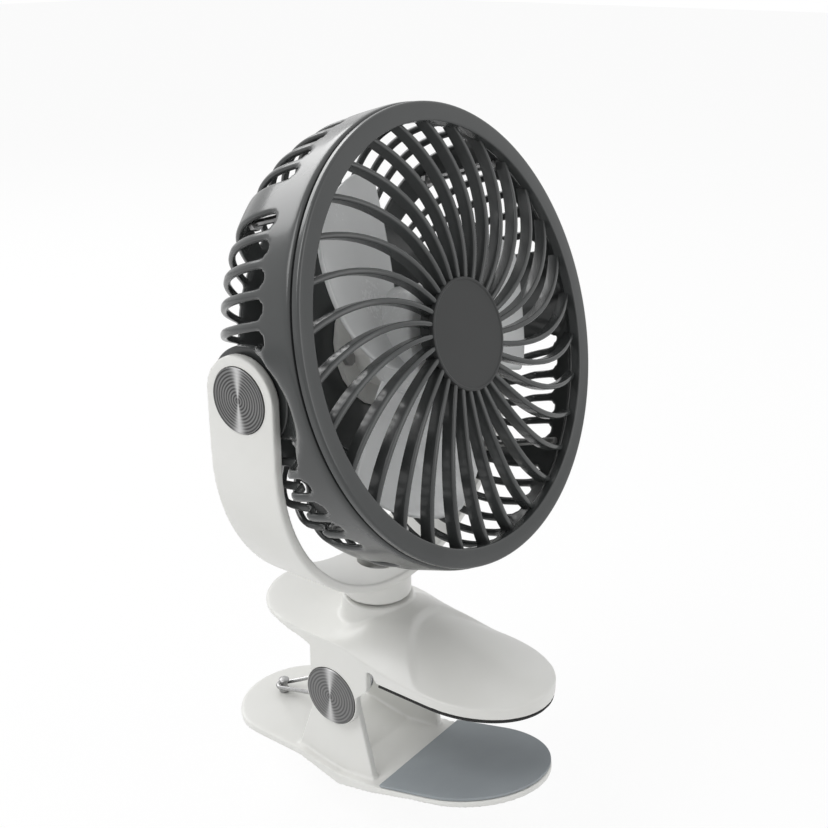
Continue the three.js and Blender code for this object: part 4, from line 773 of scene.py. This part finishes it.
# %% The jaw's deck, tower and cheeks
deck = bmesh.new()
bmesh.ops.create_grid(deck, x_segments=44, y_segments=120, size=1)
for vert in deck.verts:
    y = spaced((vert.co.y + 1) / 2, NOSE, TIP, TAIL, END)
    wide = half_width(y, NOSE, TIP, TAIL, END)
    x = wide * math.sin(math.pi / 2 * vert.co.x)
    vert.co = (x, y, jaw_top(x, y, wide))
pulled = bmesh.ops.extrude_face_region(deck, geom=deck.faces[:])
for item in pulled["geom"]:
    if isinstance(item, bmesh.types.BMVert):
        item.co.z = straight(SOLE, item.co.y)
deck = to_object("clamp_jaw", deck, NECK)

SPREAD = [(9, 1), (12, 0.8), (13, 0.45), (14.5, 0.2), (17, 0.05), (22.4, 0)]
heights = [9 + 13.4 * i / 24 for i in range(25)]
tower = spun([(0, 9), *[(1, z) for z in heights], (0, 22.4)], 72, "Z")
for vert in tower.verts:
    x, y, z = vert.co
    spread = straight(SPREAD, z)
    reach = 18.5 if y > 0 else 22
    vert.co = (14.3 * x * (1 - spread) + 18 * x * spread,
               14.3 * y * (1 - spread) + (reach * y - 2) * spread, z)
tower = to_object("tool", tower, NECK)
cheeks = bmesh.new()
join_angle = math.degrees(math.acos(10.7 / 12.8))
for way in (1, -1):
    slab([(13.2, 8), *arc(AXLE, 12.8, join_angle, -180, 40), (-10.3, -9.3), (-15.6, -4),
          (-15.6, 8)], "X", way * 23.9, way * 27, cheeks)
cheeks = to_object("tool", cheeks, NECK)
melted(merged(deck, tower, cheeks), 0.55, 4)
cuts = [rod("Z", -3, 13, 8.5, NECK), rod("Z", 0, 30, PIN_BORE, NECK)]
for way in (1, -1):
    cuts.append(rod("X", way * 25.4, way * 30, 12.3, NECK, AXLE, 96))
    cuts.append(rod("X", way * 20, way * 30, PIN_BORE, NECK, AXLE))
carve(deck, *cuts)
dress(deck, WHITE, "clamp_base", "white_plastic", "upper_jaw", angle=48)

# %% [markdown]
# ## The lower jaw
# The lower jaw is a bent plate: a lever behind, a belly under the axle and a slanted nose that
# carries the grey pad. Its side view and its plan are both simple, so the plate is what the
# two blocks have in common. Two cheeks rise from it to the axle.

# %% The lower jaw
LOWER = (NOSE, TIP, 46, 68.5)
POST_Y = 54
BELLY = [(-79.2, -33.7), (-36.4, -44.5), (-16.5, -50.8), (0, -54.4), (9.8, -52), (20, -49.6),
         (50, -49.6), (68.5, -48.6)]


def pad_top(y):
    return -30 - 0.269 * (y + 76)


def plan(ends, inset=0.0):
    rows = [spaced(i / 120, *ends) for i in range(121)]
    widths = [(half_width(y, *ends, inset), y) for y in rows if half_width(y, *ends, inset) > 0]
    return [*widths, *[(-w, y) for w, y in reversed(widths)]]


PAD_REAR, PAD_SEAT = -21, 1.55
side_view = [(-80.2, pad_top(-80.2) - PAD_SEAT), *BELLY, (68.5, -46.5), (20, -46.5), (12, -48),
             (0, -49.5), (PAD_REAR, pad_top(PAD_REAR) - PAD_SEAT)]
lower = to_object("clamp_lever", slab(side_view, "X", -30, 30), NECK)
trimmed(lower, to_object("tool", slab(plan(LOWER), "Z", -70, 0), NECK))
cheeks = bmesh.new()
for way in (1, -1):
    slab([(-16, -48.9), (24, -47.5), *arc(AXLE, 9, 18, 172, 30)], "X", way * 20.4, way * 23.4,
         cheeks)
cheeks = to_object("tool", cheeks, NECK)
melted(merged(lower, cheeks), 0.6, 5)
carve(lower, rod("X", -30, 30, PIN_BORE, NECK, AXLE), rod("Z", -60, -40, 1.8, NECK, (0, POST_Y)))
dress(lower, WHITE, "lower_lever", "white_plastic", "lower_jaw", angle=48)

# %% [markdown]
# ## Pads
# A black strip under the upper jaw and a thicker grey one on the lower jaw keep the clamp from
# marking what it holds. Both follow the jaw's outline a hair inside it, with rounded edges.

# %% Pads
PAD_INSET, PAD_WALL = 0.3, 1.24
UPPER = (NOSE, TIP, TAIL, END)
half = [(w, y) for w, y in plan(UPPER, PAD_INSET) if y < PAD_REAR and w > 0]
strip = slab([*half, (26.7, PAD_REAR), (-26.7, PAD_REAR), *[(-w, y) for w, y in reversed(half)]],
             "Z", 0, 1)
strip = to_object("board_pad", strip, NECK)
modify(strip, "BEVEL", width=0.00025, segments=3, limit_method="ANGLE", angle_limit=math.radians(50))
dress(strip, BLACK_RUBBER, "clamp_base", "black_rubber", "upper_pad", angle=50)
front = -80.2
pad = slab([(front, pad_top(front)), (front, pad_top(front) - PAD_WALL),
            (PAD_REAR, pad_top(PAD_REAR) - PAD_WALL), (PAD_REAR, pad_top(PAD_REAR))], "X", -30, 30)
pad = to_object("grip_pad", pad, NECK)
trim = to_object("tool", slab(plan(LOWER, PAD_INSET), "Z", -70, 0), NECK)
modify(pad, "BOOLEAN", object=trim, operation="INTERSECT", solver="EXACT")
modify(pad, "BEVEL", width=0.0003, segments=3, limit_method="ANGLE", angle_limit=math.radians(50))
baked(pad)
bpy.data.objects.remove(trim)
dress(pad, GREY_RUBBER, "lower_lever", "grey_rubber", "lower_pad", angle=50)

# %% [markdown]
# ## The clamp spring
# One wire makes the whole spring: a leg under the upper lever, a coil on the axle, a long V to
# the post on the lower lever, the second coil and the second leg. Here the wire is split on the
# coils, because the legs stay with the upper jaw and the V follows the lower lever. Both pieces
# share an arc round the axle, so the wire looks whole at every opening of the jaws. Curves with
# a round bevel follow these paths, with enough points for every curl to be round.

# %% The spring's paths
COIL_R, WIRE_R, PITCH, COIL_X = 5.8, 0.9, 3, 18.6
BEND_R, LOOP_Z, COIL_TURNS = 2.7, -43.5, 4
COIL_STOP, FORK_START = 0.36, 0.77


def leaving(y, z, way):
    apart = (y - AXLE_Y, z - AXLE_Z)
    return math.atan2(apart[1], apart[0]) + way * math.acos(COIL_R / math.hypot(*apart))


tip = (24, straight(SOLE, 24) - 0.6 - WIRE_R)
first, last = leaving(*tip, 1), leaving(POST_Y, LOOP_Z, -1) + 2 * math.pi * COIL_TURNS


def curl(way, start, end, steps):
    turns = [start + (end - start) * i / steps for i in range(steps + 1)]
    return [(way * (COIL_X - PITCH * (last - turn) / (2 * math.pi)),
             AXLE_Y + COIL_R * math.cos(turn), AXLE_Z + COIL_R * math.sin(turn)) for turn in turns]


def coil(way):
    turns = curl(way, first, last - COIL_STOP, 128)
    return [(turns[0][0], *tip), *turns]


def fork_leg(way):
    return curl(way, last - FORK_START, last, 12)


bend = [(-BEND_R * math.cos(math.pi * i / 16), POST_Y + BEND_R * math.sin(math.pi * i / 16), LOOP_Z)
        for i in range(17)]


# %% Draw the wires
def wire(name, *paths):
    curve = bpy.data.curves.new(name, "CURVE")
    curve.dimensions, curve.bevel_depth, curve.bevel_resolution = "3D", WIRE_R * 0.001, 3
    curve.use_fill_caps = True
    for path in paths:
        line = curve.splines.new("POLY")
        line.points.add(len(path) - 1)
        for point, at in zip(line.points, path):
            point.co = (*(NECK @ Vector(at)), 1)
    drawn = put(name + "_curve", curve)
    graph = bpy.context.evaluated_depsgraph_get()
    mesh = bpy.data.meshes.new_from_object(drawn.evaluated_get(graph))
    bpy.data.objects.remove(drawn)
    return put(name, mesh)


dress(wire("torsion_spring", coil(-1), coil(1)), WIRE, "clamp_base", "spring_steel",
      "clamp_spring", angle=60)
dress(wire("spring_fork", [*fork_leg(-1), *bend, *reversed(fork_leg(1))]), WIRE, "lower_lever",
      "spring_steel", angle=60)

# %% The post that holds the spring's loop
post = [(0, -49.1), (1.5, -49.1), (1.5, -46.2), (2.3, -46.2), (2.3, -45, 0.3), (1.5, -45),
        (1.5, -41.1), (2.3, -41.1), (2.3, -40.4, 0.5), (1.2, -39.9, 0.6), (0, -39.9)]
post = spun(softened(post, 0.15, 4), 48, "Z")
bmesh.ops.translate(post, vec=(0, POST_Y, 0), verts=post.verts)
dress(to_object("spring_stud", post, NECK), STEEL, "lower_lever", "steel", "spring_post")

# %% [markdown]
# ## The pieces that stay as they are
# Screws, washers, pins, motor, battery and board have the right shapes already. They keep
# their CAD meshes and only get their finishes.

# %% Finishes for the CAD nodes
FINISH_OF = {"steel": STEEL, "washer_plastic": DARK_TRIM, "cell_wrap": CELL,
             "board_laminate": BOARD, "lens_plastic": LENS, "white_plastic": WHITE,
             "grey_plastic": GREY, "blade_plastic": BLADE, "spun_metal": PIVOT_METAL,
             "spring_steel": WIRE, "black_rubber": BLACK_RUBBER, "grey_rubber": GREY_RUBBER}
for part in frame["record"]["subparts"]:
    node = nodes[part["node"]]
    if node.hide_render:
        continue
    node.data.materials.clear()
    node.data.materials.append(FINISH_OF[part["material_slot"]])
    print(part["node"], "->", FINISH_OF[part["material_slot"]].name)

# %% [markdown]
# ## Camera
# The photograph is taken from the fan's front left and a little above, with a short
# telephoto lens. The place, aim and lens were measured from the clamp's and yoke's edges.

# %% Camera
camera = put("camera", bpy.data.cameras.new("camera"))
camera.location = (-0.32805, -0.21803, 0.26359)
aim = Vector((-0.00281, 0.02694, 0.1036)) - camera.location
camera.rotation_euler = aim.to_track_quat("-Z", "Y").to_euler()
camera.data.sensor_width, camera.data.lens = 36, 52.52
camera.data.clip_start = 0.01
bpy.context.scene.camera = camera

# %% [markdown]
# ## Floor, lamps and world
# A large soft box high on the fan's left side, a weaker one in front and a strip behind give
# the long reflections that a studio gives glossy plastic. The floor glows white to the camera
# and still shows a soft shadow, and it lies low enough for the lower lever to swing. The world
# is white where the camera or a reflection sees it, but dimmer where it lights.

# %% Floor
FLOOR_Z = -0.078
floor_mesh = bmesh.new()
bmesh.ops.create_grid(floor_mesh, x_segments=1, y_segments=1, size=6)
floor = to_object("floor", floor_mesh, Matrix.Translation((0, 0, FLOOR_Z)))
paper = Finish("floor_paper", Roughness=0.9)
paper.set("Base Color", (0.93, 0.93, 0.93, 1))
glow = paper.node("ShaderNodeEmission", {}, {"Color": (1, 1, 1, 1), "Strength": 1})
seen = paper.node("ShaderNodeLightPath", output="Is Camera Ray") * 0.9
surface = paper.node("ShaderNodeMixShader", {}, {0: seen, 1: Socket(paper, paper.shader.outputs[0]),
                                                 2: glow})
paper.connect(paper.tree.nodes["Material Output"].inputs["Surface"], surface)
floor.data.materials.append(paper.material)


# %% Lamps
def soft_box(name, place, size, power):
    data = bpy.data.lights.new(name, "AREA")
    data.shape, data.size, data.size_y, data.energy = "RECTANGLE", size[0], size[1], power
    lamp = put(name, data)
    lamp.location = place
    lamp.rotation_euler = (Vector((0, 0.04, 0.1)) - lamp.location).to_track_quat("-Z", "Y").to_euler()


soft_box("key", (-0.9, 0.45, 1.2), (0.8, 0.8), 8.5)
soft_box("fill", (0.5, -1.2, 0.5), (0.7, 0.9), 3)
soft_box("back", (0.2, 1.2, 0.9), (1.2, 0.4), 6)

# %% World
world = bpy.data.worlds.new("studio")
bpy.context.scene.world = world
world.use_nodes = True
sky = world.node_tree
sky.nodes.clear()
rays = sky.nodes.new("ShaderNodeLightPath")
white_for = rays.outputs["Is Camera Ray"]
for kind in ("Is Glossy Ray", "Is Transmission Ray"):
    either = sky.nodes.new("ShaderNodeMath")
    either.operation = "MAXIMUM"
    sky.links.new(white_for, either.inputs[0])
    sky.links.new(rays.outputs[kind], either.inputs[1])
    white_for = either.outputs[0]
blend, out = sky.nodes.new("ShaderNodeMixShader"), sky.nodes.new("ShaderNodeOutputWorld")
sky.links.new(white_for, blend.inputs[0])
for slot, strength in ((1, 0.6), (2, 1.0)):
    background = sky.nodes.new("ShaderNodeBackground")
    background.inputs["Color"].default_value = (1, 1, 1, 1)
    background.inputs["Strength"].default_value = strength
    sky.links.new(background.outputs[0], blend.inputs[slot])
sky.links.new(blend.outputs[0], out.inputs["Surface"])
bpy.context.scene.view_settings.view_transform = "Standard"
print("camera, floor, lamps and world are set")
